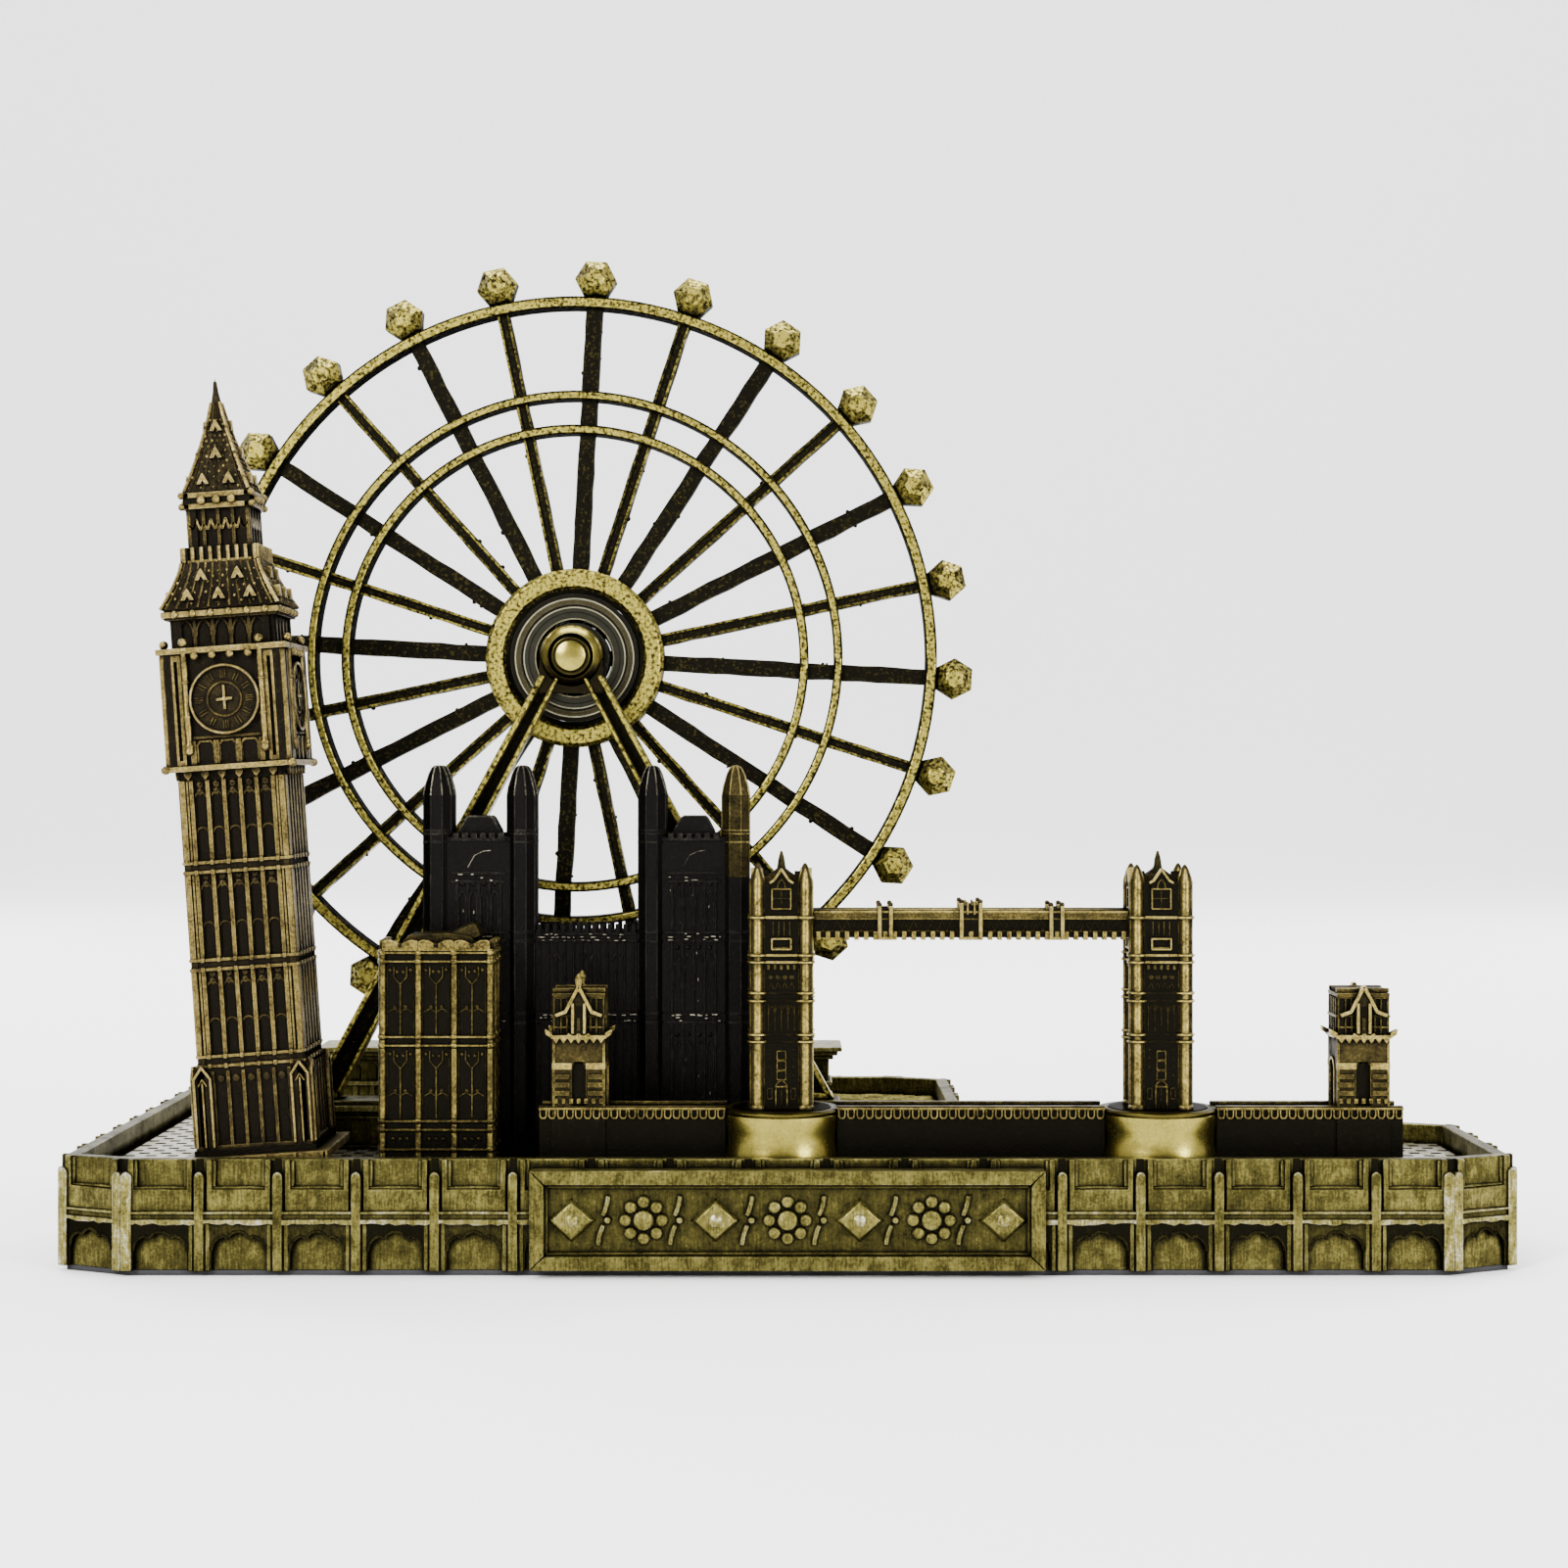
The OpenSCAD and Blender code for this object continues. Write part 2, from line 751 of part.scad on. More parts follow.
module bearing_balls() {
    color("white") bearing_frame()
        for (i = [0:balls - 1])
            rotate(i * 360 / balls) translate([pitch_r, 0, 0]) sphere(r = ball_r);
}

module bearing_cage() {
    color("khaki") bearing_frame() difference() {
        translate([0, 0, -cage_front]) ring(cage_out_r, cage_in_r, cage_back - cage_front);
        for (i = [0:balls - 1])
            rotate(i * 360 / balls) translate([pitch_r, 0, 0]) sphere(r = ball_r + pocket_gap);
    }
}

base_casting();
base_felt();
name_plate();
fixing_screws();
clock_tower();
clock_spire();
clock_dials();
abbey_nave();
abbey_tower_left();
abbey_tower_right();
abbey_chapel();
bridge_road_left();
bridge_road_middle();
bridge_road_right();
bridge_pier_left();
bridge_pier_right();
bridge_tower_left();
bridge_tower_right();
bridge_walkway_front();
bridge_walkway_rear();
bridge_gate_left();
bridge_gate_right();
wheel_platform();
boarding_block();
frame_leg_left();
frame_leg_right();
frame_boss();
axle_pin();
axle_spacer();
axle_cap();
bearing_inner_ring();
wheel_casting();
bearing_outer_ring();
bearing_shields();
bearing_balls();
bearing_cage();
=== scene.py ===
import math
from random import Random

import bmesh
import bpy
from mathutils import Matrix, Vector


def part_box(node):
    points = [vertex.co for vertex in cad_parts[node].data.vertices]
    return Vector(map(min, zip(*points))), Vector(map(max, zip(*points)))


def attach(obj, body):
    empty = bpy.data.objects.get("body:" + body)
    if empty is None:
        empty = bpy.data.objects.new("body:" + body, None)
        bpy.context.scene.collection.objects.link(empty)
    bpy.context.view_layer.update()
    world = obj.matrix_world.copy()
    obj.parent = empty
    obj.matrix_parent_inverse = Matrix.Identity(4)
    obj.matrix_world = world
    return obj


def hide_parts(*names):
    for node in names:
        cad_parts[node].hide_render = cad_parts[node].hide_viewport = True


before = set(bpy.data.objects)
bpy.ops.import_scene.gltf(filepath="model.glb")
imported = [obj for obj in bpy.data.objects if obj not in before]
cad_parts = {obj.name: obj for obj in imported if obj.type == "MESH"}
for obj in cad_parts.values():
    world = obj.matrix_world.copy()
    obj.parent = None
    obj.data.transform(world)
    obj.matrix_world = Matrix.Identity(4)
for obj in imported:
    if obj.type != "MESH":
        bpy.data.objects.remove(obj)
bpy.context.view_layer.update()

# Shapes are worked out in millimetres and scaled once, when a mesh is made.
MM = 0.001
CHANCE = Random(7)
QUARTERS = (0, 90, 180, 270)
SIDES = (-1, 1)


def node_box(node):
    """A CAD node's lowest and highest corners, in millimetres."""
    low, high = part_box(node)
    return Vector(low) / MM, Vector(high) / MM


def node_middle(node):
    low, high = node_box(node)
    return (low + high) / 2


BASE_LOW, BASE_HIGH = node_box("base_casting")


def back(setback):
    """Y of a plane that lies so far behind the front wall face."""
    return BASE_LOW.y + setback


# ---- camera, light and floor

IMAGE_WIDTH = 1601
FOCAL_LENGTH, HORIZON_SHIFT = 2850 / IMAGE_WIDTH, -15.5 / IMAGE_WIDTH  # as shares of the picture's width
SENSOR = 36
CAMERA_X, CAMERA_DISTANCE, CAMERA_HEIGHT = -0.4, 315, 57.35


def put_in_scene(name, data):
    thing = bpy.data.objects.new(name, data)
    bpy.context.collection.objects.link(thing)
    return thing


def make_camera():
    data = bpy.data.cameras.new("camera")
    data.sensor_width = SENSOR
    data.lens = SENSOR * FOCAL_LENGTH
    data.shift_y = HORIZON_SHIFT
    data.clip_start, data.clip_end = 0.01, 20
    camera = put_in_scene("camera", data)
    camera.location = (CAMERA_X * MM, back(-CAMERA_DISTANCE) * MM, CAMERA_HEIGHT * MM)
    camera.rotation_euler = (math.radians(90), 0, 0)
    bpy.context.scene.camera = camera


def area_light(name, place, size, power, target=(0, 0, 0.05)):
    data = bpy.data.lights.new(name, "AREA")
    data.shape = "RECTANGLE"
    data.size, data.size_y = size
    data.energy = power
    lamp = put_in_scene(name, data)
    lamp.location = place
    lamp.rotation_euler = (Vector(target) - Vector(place)).to_track_quat("-Z", "Y").to_euler()


def make_lights():
    soft_box = (0.3, 0.5)
    area_light("key", (-0.5, -0.7, 0.5), soft_box, 16)
    area_light("fill", (0.65, -0.65, 0.3), soft_box, 11)
    area_light("top", (0, 0.1, 0.9), (0.9, 0.6), 18)
    area_light("back_left", (-0.6, 0.6, 0.4), soft_box, 8)
    area_light("back_right", (0.6, 0.6, 0.4), soft_box, 8)
    area_light("backdrop", (0, 0.75, 1.5), (1.8, 0.4), 45, target=(0, 2.0, 0.5))
    world = bpy.data.worlds.new("studio")
    world.use_nodes = True
    sky = world.node_tree.nodes["Background"].inputs
    sky["Color"].default_value, sky["Strength"].default_value = (1, 1, 1, 1), 0.5
    bpy.context.scene.world = world


def make_floor():
    """A pale sweep: flat under the object, curving up far behind it on every side."""
    flat, rise, rings, sides = 0.9, 1.2, 24, 64
    points, faces = [(0, 0, 0)], []
    for ring in range(rings):
        turn = ring / (rings - 1) * math.pi / 2
        height = rise * (1 - math.cos(turn))
        points += [(*polar(flat + rise * math.sin(turn), 360 * i / sides), height) for i in range(sides)]
    for i in range(sides):
        j = (i + 1) % sides
        faces.append((0, 1 + i, 1 + j))
        for a in range(1, (rings - 1) * sides, sides):
            b = a + sides
            faces.append((a + i, b + i, b + j, a + j))
    mesh = bpy.data.meshes.new("floor")
    mesh.from_pydata(points, [], faces)
    mesh.polygons.foreach_set("use_smooth", [True] * len(faces))
    paper = Paint("paper")
    paper.look({"Base Color": (0.92, 0.92, 0.92, 1), "Roughness": 0.9, "Specular IOR Level": 0.1})
    mesh.materials.append(paper.material)
    put_in_scene("floor", mesh)


# ---- outlines and places

def polar(radius, degrees):
    return radius * math.cos(math.radians(degrees)), radius * math.sin(math.radians(degrees))


def arc(cx, cz, radius, start, end, steps=8):
    """Points on an arc, with angles in degrees from the +x side."""
    turns = [polar(radius, start + (end - start) * k / steps) for k in range(steps + 1)]
    return [(cx + x, cz + z) for x, z in turns]


def mirrored(path):
    """A left half outline followed by its mirror image in x = 0."""
    return path + [(-x, z) for x, z in path[::-1]]


def shifted(path, dx, dz=0.0):
    return [(x + dx, z + dz) for x, z in path]


def pointed(half, foot, spring, crown, steps=5):
    """A pointed-arch outline about x = 0, from the left foot over the crown to the right foot."""
    rise = crown - spring
    radius = (half * half + rise * rise) / (2 * half)
    end = math.degrees(math.acos((radius - half) / radius))
    haunch = arc(radius - half, spring, radius, 180, 180 - end, steps)[:-1]
    return mirrored([(-half, foot), *haunch, (0, crown)])


def round_arch(half, foot, spring, steps=6):
    return mirrored([(-half, foot), *arc(0, spring, half, 180, 90, steps)])


def spaced(count, pitch, middle=0.0):
    """Places at one pitch about a middle."""
    return [middle + (i - (count - 1) / 2) * pitch for i in range(count)]


def cells(start, end, count):
    """The middles of equal cells from start to end."""
    return spaced(count, (end - start) / count, (start + end) / 2)


def turned_place(x, y, degrees, out=0.0):
    """A frame at (x, y) turned about the upright, then moved so far towards its own front."""
    turn = Matrix.Rotation(math.radians(degrees), 4, "Z")
    return Matrix.Translation((x, y, 0)) @ turn @ Matrix.Translation((0, -out, 0))


# ---- mesh building

class Casting:
    """A mesh made of closed solids. tone runs from 0, black patina, to 1, bright worn metal."""

    def __init__(self, place=Matrix()):
        self.points, self.faces, self.tones = [], [], []
        self.place = place

    def add(self, points, faces, tone):
        """Adds a solid; tone is one number, or a list with a number for each face."""
        start = len(self.points)
        self.points += [self.place @ Vector(p) for p in points]
        self.faces += [[start + i for i in face] for face in faces]
        self.tones += tone if isinstance(tone, list) else [tone] * len(faces)

    def loft(self, rings, tone, closed=False):
        """A solid through rings of equally many points, with capped ends, or joined end to end if closed."""
        n, count = len(rings[0]), len(rings)
        faces = [] if closed else [range(n), range((count - 1) * n, count * n)]
        for k in range(count if closed else count - 1):
            a, b = k * n, (k + 1) % count * n
            faces += [(a + i, a + (i + 1) % n, b + (i + 1) % n, b + i) for i in range(n)]
        self.add([point for ring in rings for point in ring], faces, tone)

    def slab(self, x0, x1, y0, y1, z0, z1, tone):
        """A box between two corners."""
        self.loft([[(x0, y0, z), (x1, y0, z), (x1, y1, z), (x0, y1, z)] for z in (z0, z1)], tone)

    def pair(self, x0, x1, *rest):
        """A box and its mirror image in x = 0."""
        self.slab(x0, x1, *rest)
        self.slab(-x0, -x1, *rest)

    def row(self, places, width, *rest):
        """Boxes of one width about places along x."""
        for x in places:
            self.slab(x - width / 2, x + width / 2, *rest)

    def bars(self, x0, x1, y0, y1, heights, half, tone):
        """Level bars that reach half above and half below each height."""
        for z in heights:
            self.slab(x0, x1, y0, y1, z - half, z + half, tone)

    def cut(self, outline, y0, y1, tone, shrink=1.0):
        """An outline of (x, z) points, run from y0 to y1; shrink scales the y0 end about its middle."""
        mx, mz = (sum(p[k] for p in outline) / len(outline) for k in (0, 1))
        near = [(mx + (x - mx) * shrink, y0, mz + (z - mz) * shrink) for x, z in outline]
        self.loft([near, [(x, y1, z) for x, z in outline]], tone)

    def flat(self, outline, z0, z1, tone):
        """An outline of (x, y) points, run from z0 up to z1."""
        self.loft([[(x, y, z) for x, y in outline] for z in (z0, z1)], tone)

    def turned(self, x, y, profile, tone, sides=24, phase=0.0):
        """A solid turned about an upright line: profile holds (radius, z) from the bottom up."""
        rings = []
        for r, z in profile:
            circle = [polar(max(r, 0.001), phase + 360 * i / sides) for i in range(sides)]
            rings.append([(x + cx, y + cy, z) for cx, cy in circle])
        self.loft(rings, tone)

    def post(self, x, y, radius, z0, z1, tone, sides=24, phase=0.0):
        self.turned(x, y, [(radius, z0), (radius, z1)], tone, sides, phase)

    def spindle(self, start, end, profile, tone, sides=16):
        """A solid turned about the line from start to end: profile holds (radius, share of the way)."""
        along = Vector(end) - Vector(start)
        kept = self.place
        self.place = kept @ Matrix.Translation(start) @ along.to_track_quat("Z", "Y").to_matrix().to_4x4()
        self.turned(0, 0, [(r, share * along.length) for r, share in profile], tone, sides)
        self.place = kept

    def rod(self, start, end, radius, tone, sides=12):
        self.spindle(start, end, [(radius, 0), (radius, 1)], tone, sides)

    def ball(self, x, y, z, radius, tone, sides=12):
        self.turned(x, y, arc(0, z, radius, -90, 90), tone, sides)

    def beads(self, places, y, z, radius, tone, sides):
        for x in places:
            self.ball(x, y, z, radius, tone, sides)

    def stud(self, x, y, z, radius, proud, tone, sides=12):
        """A domed stud on a wall at depth y, standing out to the front."""
        dome = [(radius, 0), (radius * 0.92, 0.45), (radius * 0.6, 0.85), (0.02, 1)]
        self.spindle((x, y, z), (x, y - proud, z), dome, tone, sides)

    def strip(self, path, width, y0, y1, tone):
        """A flat band along a path of (x, z) points on a wall, from y0 to y1."""
        for a, b in zip(map(Vector, path), map(Vector, path[1:])):
            along = (b - a).normalized() * width
            side, over = along.orthogonal() / 2, along * 0.2
            if (b - a).length > 1e-6:
                self.cut([a - over - side, b + over - side, b + over + side, a - over + side], y0, y1, tone)

    def ring(self, profile, tones, sides=144):
        """A ring about the local y axis: profile holds (radius, y) in turn, with a tone for each side."""
        sections = []
        for i in range(sides):
            c, s = polar(1, 360 * i / sides)
            sections.append([(r * c, y, r * s) for r, y in profile])
        self.loft(sections, tones * sides, closed=True)

    def frustum(self, z0, z1, low, high, tone, steps=1, curve=1.0):
        """A square solid about the upright that narrows from width low to width high."""
        rings = []
        for share in (k / steps for k in range(steps + 1)):
            half = (high + (low - high) * (1 - share) ** curve) / 2
            z = z0 + (z1 - z0) * share
            rings.append([(-half, -half, z), (half, -half, z), (half, half, z), (-half, half, z)])
        self.loft(rings, tone)

    def made(self, nodes, material, edge, name=None, body="stand"):
        """Turns the solids into one object that rides on a body and stands for its CAD nodes."""
        name = name or nodes[0] + "_relief"
        mesh = bpy.data.meshes.new(name)
        mesh.from_pydata([p * MM for p in self.points], [], self.faces)
        mesh.attributes.new("tone", "FLOAT", "FACE").data.foreach_set("value", self.tones)
        mesh.polygons.foreach_set("use_smooth", [True] * len(self.faces))
        shell = bmesh.new()
        shell.from_mesh(mesh)
        bmesh.ops.recalc_face_normals(shell, faces=shell.faces)
        shell.to_mesh(mesh)
        shell.free()
        mesh.update()
        mesh.set_sharp_from_angle(angle=math.radians(32))
        mesh.materials.append(material)
        piece = put_in_scene(name, mesh)
        if edge:
            bevel = piece.modifiers.new("worn_edges", "BEVEL")
            bevel.width, bevel.segments = edge * MM, 1
            bevel.limit_method, bevel.angle_limit = "ANGLE", math.radians(40)
            bevel.harden_normals = False
        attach(piece, body)
        if nodes:
            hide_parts(*nodes)


# ---- materials

class Paint:
    """A node material; each call adds one node and gives back one of its outputs."""

    def __init__(self, name):
        self.material = bpy.data.materials.new(name)
        self.material.use_nodes = True
        self.tree = self.material.node_tree

    def fill(self, node, inputs):
        for key, value in inputs.items():
            if isinstance(value, bpy.types.NodeSocket):
                self.tree.links.new(value, node.inputs[key])
            else:
                node.inputs[key].default_value = value

    def look(self, inputs):
        """Sets or links the surface's own inputs."""
        self.fill(self.tree.nodes["Principled BSDF"], inputs)

    def node(self, kind, inputs=None, output=0, **settings):
        node = self.tree.nodes.new("ShaderNode" + kind)
        for name, value in settings.items():
            setattr(node, name, value)
        self.fill(node, inputs or {})
        return node.outputs[output]

    def maths(self, operation, *values, clamp=False):
        return self.node("Math", dict(enumerate(values)), operation=operation, use_clamp=clamp)

    def spread(self, value, low, high):
        """Maps low..high to 0..1, clamped."""
        return self.node("MapRange", {"Value": value, "From Min": low, "From Max": high})

    def noise(self, scale, detail=3.0, stretch=(1, 1, 1)):
        """Noise between 0 and 1 whose cells are about 1/scale metres across, stretched along the axes."""
        place = self.node("TexCoord", output="Object")
        place = self.node("Mapping", {"Vector": place, "Scale": stretch})
        inputs = {"Vector": place, "Scale": scale, "Detail": detail, "Roughness": 0.6}
        return self.node("TexNoise", inputs, output="Fac")

    def open_air(self, reach, low, high):
        """How freely the surface is seen from around it, from 0 in a recess to 1 in the open."""
        seen = self.node("AmbientOcclusion", {"Distance": reach * MM}, output="AO", samples=6)
        return self.spread(seen, low, high)


def antique(name, patina, body, bright, bare=(0.40, 0.38, 0.30), rough=(0.5, 0.34), blotch=0.3, speckle=0.2,
            speckle_scale=3200, streak=0.0, grain=0.03):
    """Antiqued plate: patina in recesses, its body colour on plain faces, bright where worn, then bare."""
    paint = Paint(name)
    tone = paint.node("Attribute", output="Fac", attribute_name="tone")
    exposed = paint.open_air(1.0, 0.45, 1.0)
    rounded = paint.node("Bevel", {"Radius": 0.14 * MM}, samples=4)
    normal = paint.node("NewGeometry", output="Normal")
    facing = paint.node("VectorMath", {0: rounded, 1: normal}, output="Value", operation="DOT_PRODUCT")
    rim = paint.spread(facing, 0.99, 0.80)
    wear = paint.maths("MULTIPLY", paint.maths("MULTIPLY", rim, 0.6), paint.maths("ADD", tone, 0.12))
    value = paint.maths("MULTIPLY", paint.maths("ADD", tone, wear), exposed)

    blotches = paint.spread(paint.noise(500, 4), 0.25, 0.75)
    specks = paint.spread(paint.noise(speckle_scale, 2), 0.36, 0.64)
    change = paint.maths("MULTIPLY_ADD", blotches, blotch * 2, -blotch - speckle - streak)
    change = paint.maths("MULTIPLY_ADD", specks, speckle * 2, change)
    height = specks
    if streak:
        lines = paint.spread(paint.noise(4200, 3, (1, 1, 0.12)), 0.3, 0.7)
        change = paint.maths("MULTIPLY_ADD", lines, streak * 2, change)
        height = paint.maths("ADD", specks, lines)
    strength = paint.maths("MULTIPLY_ADD", value, 0.9, 0.12)
    value = paint.maths("MULTIPLY_ADD", change, strength, value)
    value = paint.maths("MULTIPLY", value, 0.77, clamp=True)

    colour = paint.node("ValToRGB", {"Fac": value}, output="Color")
    ramp = colour.node.color_ramp.elements
    ramp[0].position, ramp[0].color = 0.125, (*patina, 1)
    ramp[1].position, ramp[1].color = 1.0, (*bare, 1)
    ramp.new(0.385).color = (*body, 1)
    ramp.new(0.73).color = (*bright, 1)
    glint = paint.node("MapRange", {"Value": value, "From Min": 0.1, "From Max": 0.45, "To Min": 0.1})
    polish = paint.node("MapRange", {"Value": value, "To Min": rough[0], "To Max": rough[1]})
    bump = paint.node("Bump", {"Height": height, "Strength": 0.5, "Distance": grain * MM})
    paint.look({"Base Color": colour, "Metallic": 1.0, "Specular Tint": glint, "Roughness": polish,
                "Normal": bump})
    return paint.material


def plain_metal(name, colour, rough, dirt=0.35, metal=1.0):
    """Turned or stamped metal, darkened in its corners by painted shade and in random patches by grime."""
    paint = Paint(name)
    cover = paint.maths("MULTIPLY", paint.noise(900), dirt)
    # Painted shade: the ambient occlusion term darkens the colour in corners and recesses; the noise takes
    # off more in random grime patches.
    unshaded_and_clean = paint.maths("SUBTRACT", paint.open_air(0.8, 0.2, 0.95), cover, clamp=True)
    shade_and_grime_colour = [channel * 0.12 for channel in colour]
    mix = {"Factor": unshaded_and_clean, "A": (*shade_and_grime_colour, 1), "B": (*colour, 1)}
    blend = paint.node("Mix", mix, output="Result", data_type="RGBA")
    paint.look({"Base Color": blend, "Metallic": metal, "Roughness": rough})
    return paint.material


# ---- base tray

BAY = 8.87
FOOT, RIM_TOP, DEPTH = BASE_LOW.z, BASE_HIGH.z, BASE_HIGH.y - BASE_LOW.y
DECK_UNDER, DECK_TOP = 8.9, 10.7
WALL, CORE = 2.4, 0.9  # setbacks of the wall's inner face and of its solid core behind the arcade
LEDGE_LOW, LEDGE_TOP, PILASTER_TOP = 5.97, 7.35, 11.8
PAVED_LEFT, PAVED_RIGHT = -45.0, 72.5


def closed(path):
    """Each point of an outline with the next, and the last with the first."""
    return zip(path, path[1:] + path[:1])


def base_outline(inset):
    """The base's outline, counter-clockwise from the front left, drawn inside its wall faces."""
    half, wing, deep_right = BASE_HIGH.x, 36, 23.6
    corner_x, corner_y = 8.15 + inset * 0.45, 4.3 + inset * 0.45
    return [(-half + corner_x, back(inset)), (half - corner_x, back(inset)), (half - inset, back(corner_y)),
            (half - inset, back(wing - corner_y)), (half - corner_x, back(wing - inset)),
            (deep_right - inset, back(wing - inset)), (deep_right - inset, back(DEPTH - corner_y)),
            (deep_right - corner_x, back(DEPTH - inset)), (-half + corner_x, back(DEPTH - inset)),
            (-half + inset, back(DEPTH - corner_y)), (-half + inset, back(corner_y))]


def trefoil():
    """The head of a lower arch about x = 0, from its left foot to its right foot."""
    return mirrored([(-3.05, FOOT), *arc(-1.3, 2.9, 1.75, 180, 104, 5), *arc(0, 3.85, 1.25, 162, 98, 4)])


def base_bay(cast, half):
    """One bay of the arcade about x = 0, with a pilaster half a bay to each side."""
    edge, rear = half - 0.35, CORE + 0.1
    shade = 0.5 + CHANCE.uniform(-0.06, 0.06)
    arch = [(-edge, FOOT), *trefoil(), (edge, FOOT), (edge, LEDGE_LOW), (-edge, LEDGE_LOW)]
    cast.cut(arch, 0.34, rear, CHANCE.choice((0.12, 0.2, 0.3)))
    cast.pair(half - 1.2, half - 0.7, 0.22, CORE, FOOT, LEDGE_LOW, shade + 0.08)
    notch = mirrored([(-3, 9.8), (-3, RIM_TOP), (0.45 - edge, RIM_TOP), (0.45 - edge, LEDGE_TOP)])
    cast.cut(notch, 0.3, rear, shade + 0.06)
    cast.pair(2.59, 3.01, 0.58, rear, 10.1, RIM_TOP - 0.2, shade + 0.1)
    cast.slab(-3, 3, 0.58, rear, 9.8, 10.12, shade + 0.1)
    cast.strip(trefoil()[1:-1], 0.34, 0.2, 0.5, 0.2)
    cast.slab(-edge, edge, 0.28, rear, LEDGE_LOW + 0.4, LEDGE_TOP - 0.25, shade)
    cast.slab(-edge, edge, 0.05, rear, LEDGE_TOP - 0.32, LEDGE_TOP + 0.02, shade + 0.25)
    ragged = [(edge * (k / 6 - 1), LEDGE_LOW - 0.08 + CHANCE.uniform(-0.16, 0.14)) for k in range(13)]
    cast.cut([(-edge, LEDGE_LOW + 0.5), *ragged, (edge, LEDGE_LOW + 0.5)], 0.04, rear, shade + 0.32)


def pilaster(cast, x, width, tone):
    half = width / 2
    spring = PILASTER_TOP - half
    cast.cut([(x - half, FOOT), (x + half, FOOT), *arc(x, spring, half, 0, 180, 6)], 0, CORE + 0.1, tone)
    cast.strip(arc(x, spring, half - 0.12, 20, 160, 4), 0.2, -0.04, 0.2, 0.95)
    cast.row([x], width * 0.85, CORE - 0.06, CORE + 0.2, PILASTER_TOP - 0.8, RIM_TOP + 0.01, 0)


def inside(outline, x, y):
    """True if a point is inside an outline."""
    found = False
    for (ax, ay), (bx, by) in closed(outline):
        if (ay > y) != (by > y) and x < ax + (y - ay) * (bx - ax) / (by - ay):
            found = not found
    return found


def paving(cast, outline):
    """Bright tiling at both ends of the deck, with dark dashes left open in every other row."""
    wide, deep, gap = 1.3, 1.1, 0.02
    for row in range(int(DEPTH / deep)):
        y = back(2.9) + row * deep
        start = None
        for column in range(int(2 * BASE_HIGH.x / wide)):
            x = BASE_LOW.x + column * wide
            paved = x + wide < PAVED_LEFT or x > PAVED_RIGHT
            fits = all(inside(outline, px, py) for px in (x, x + wide) for py in (y, y + deep))
            dash = row % 2 == 1 and (column + row // 2) % 2 == 0
            if paved and fits and not dash:
                start = x if start is None else start
            elif start is not None:
                low, top = DECK_TOP + 0.15, DECK_TOP + 0.23
                cast.slab(start, x, y, y + deep, DECK_TOP - 0.1, DECK_TOP + 0.2, 0)
                cast.slab(start + gap, x - gap, y + gap, y + deep - gap, low, top, 1.25)
                start = None


def ripples(cast, outline):
    """Low three-sided ridges in waves on the deck between the paved ends."""
    pitch, step, half, low = 1.25, 0.8, 0.31, DECK_TOP - 0.05
    for row in range(int(DEPTH / pitch)):
        x, run = PAVED_LEFT, []
        while x < PAVED_RIGHT + step:
            swing = 0.42 * math.sin(x * 1.05 + 0.9 * row) + 0.2 * math.sin(x * 0.37 - row)
            y = back(3.4) + row * pitch + swing
            if x < PAVED_RIGHT and inside(outline, x, y):
                run.append([(x, y - half, low), (x, y + half, low), (x, y, low + 0.24)])
            elif len(run) > 3:
                cast.loft(run, 0.5)
                run = []
            x += step


def make_base(material):
    cast = Casting()
    corners = ((CORE, FOOT), (WALL, FOOT), (WALL, RIM_TOP - 0.02), (CORE, RIM_TOP - 0.02))
    cast.loft([[(x, y, z) for x, y in base_outline(inset)] for inset, z in corners], 0.52, closed=True)
    cast.flat(base_outline(WALL - 0.1), DECK_UNDER, DECK_TOP, 0.12)
    for a, b in closed(base_outline(0)):
        run = Vector(b) - Vector(a)
        bays = max(1, round(run.length / BAY))
        half = run.length / bays / 2
        wall = turned_place(*a, math.degrees(math.atan2(run.y, run.x)))
        for x in cells(0, run.length, bays):
            cast.place = wall @ Matrix.Translation((x, 0, 0))
            base_bay(cast, half)
        cast.place = wall
        for i in range(1, bays):
            pilaster(cast, i * 2 * half, 1.1, 0.62)
        for x in (0.62, run.length - 0.62):
            pilaster(cast, x, 1.24, 0.86)
    cast.made(["base_casting"], material, 0.09, "tray_base")
    deck = Casting()
    paving(deck, base_outline(WALL + 0.4))
    ripples(deck, base_outline(WALL + 0.4))
    deck.made([], material, 0, "tray_deck_pattern")


def make_felt(material):
    """The felt under the tray: a thin sheet with a slightly uneven edge."""
    low, high = node_box("base_felt")
    outline = []
    for (ax, ay), (bx, by) in closed(base_outline(1.0)):
        steps = max(2, round(math.hypot(bx - ax, by - ay) / 3))
        for k in range(steps):
            outline.append((ax + (bx - ax) * k / steps + CHANCE.uniform(-0.06, 0.06),
                            ay + (by - ay) * k / steps + CHANCE.uniform(-0.06, 0.06)))
    cast = Casting()
    cast.flat(outline, low.z, high.z, 0.5)
    cast.made(["base_felt"], material, 0, "base_felt_sheet")


# ---- name plate

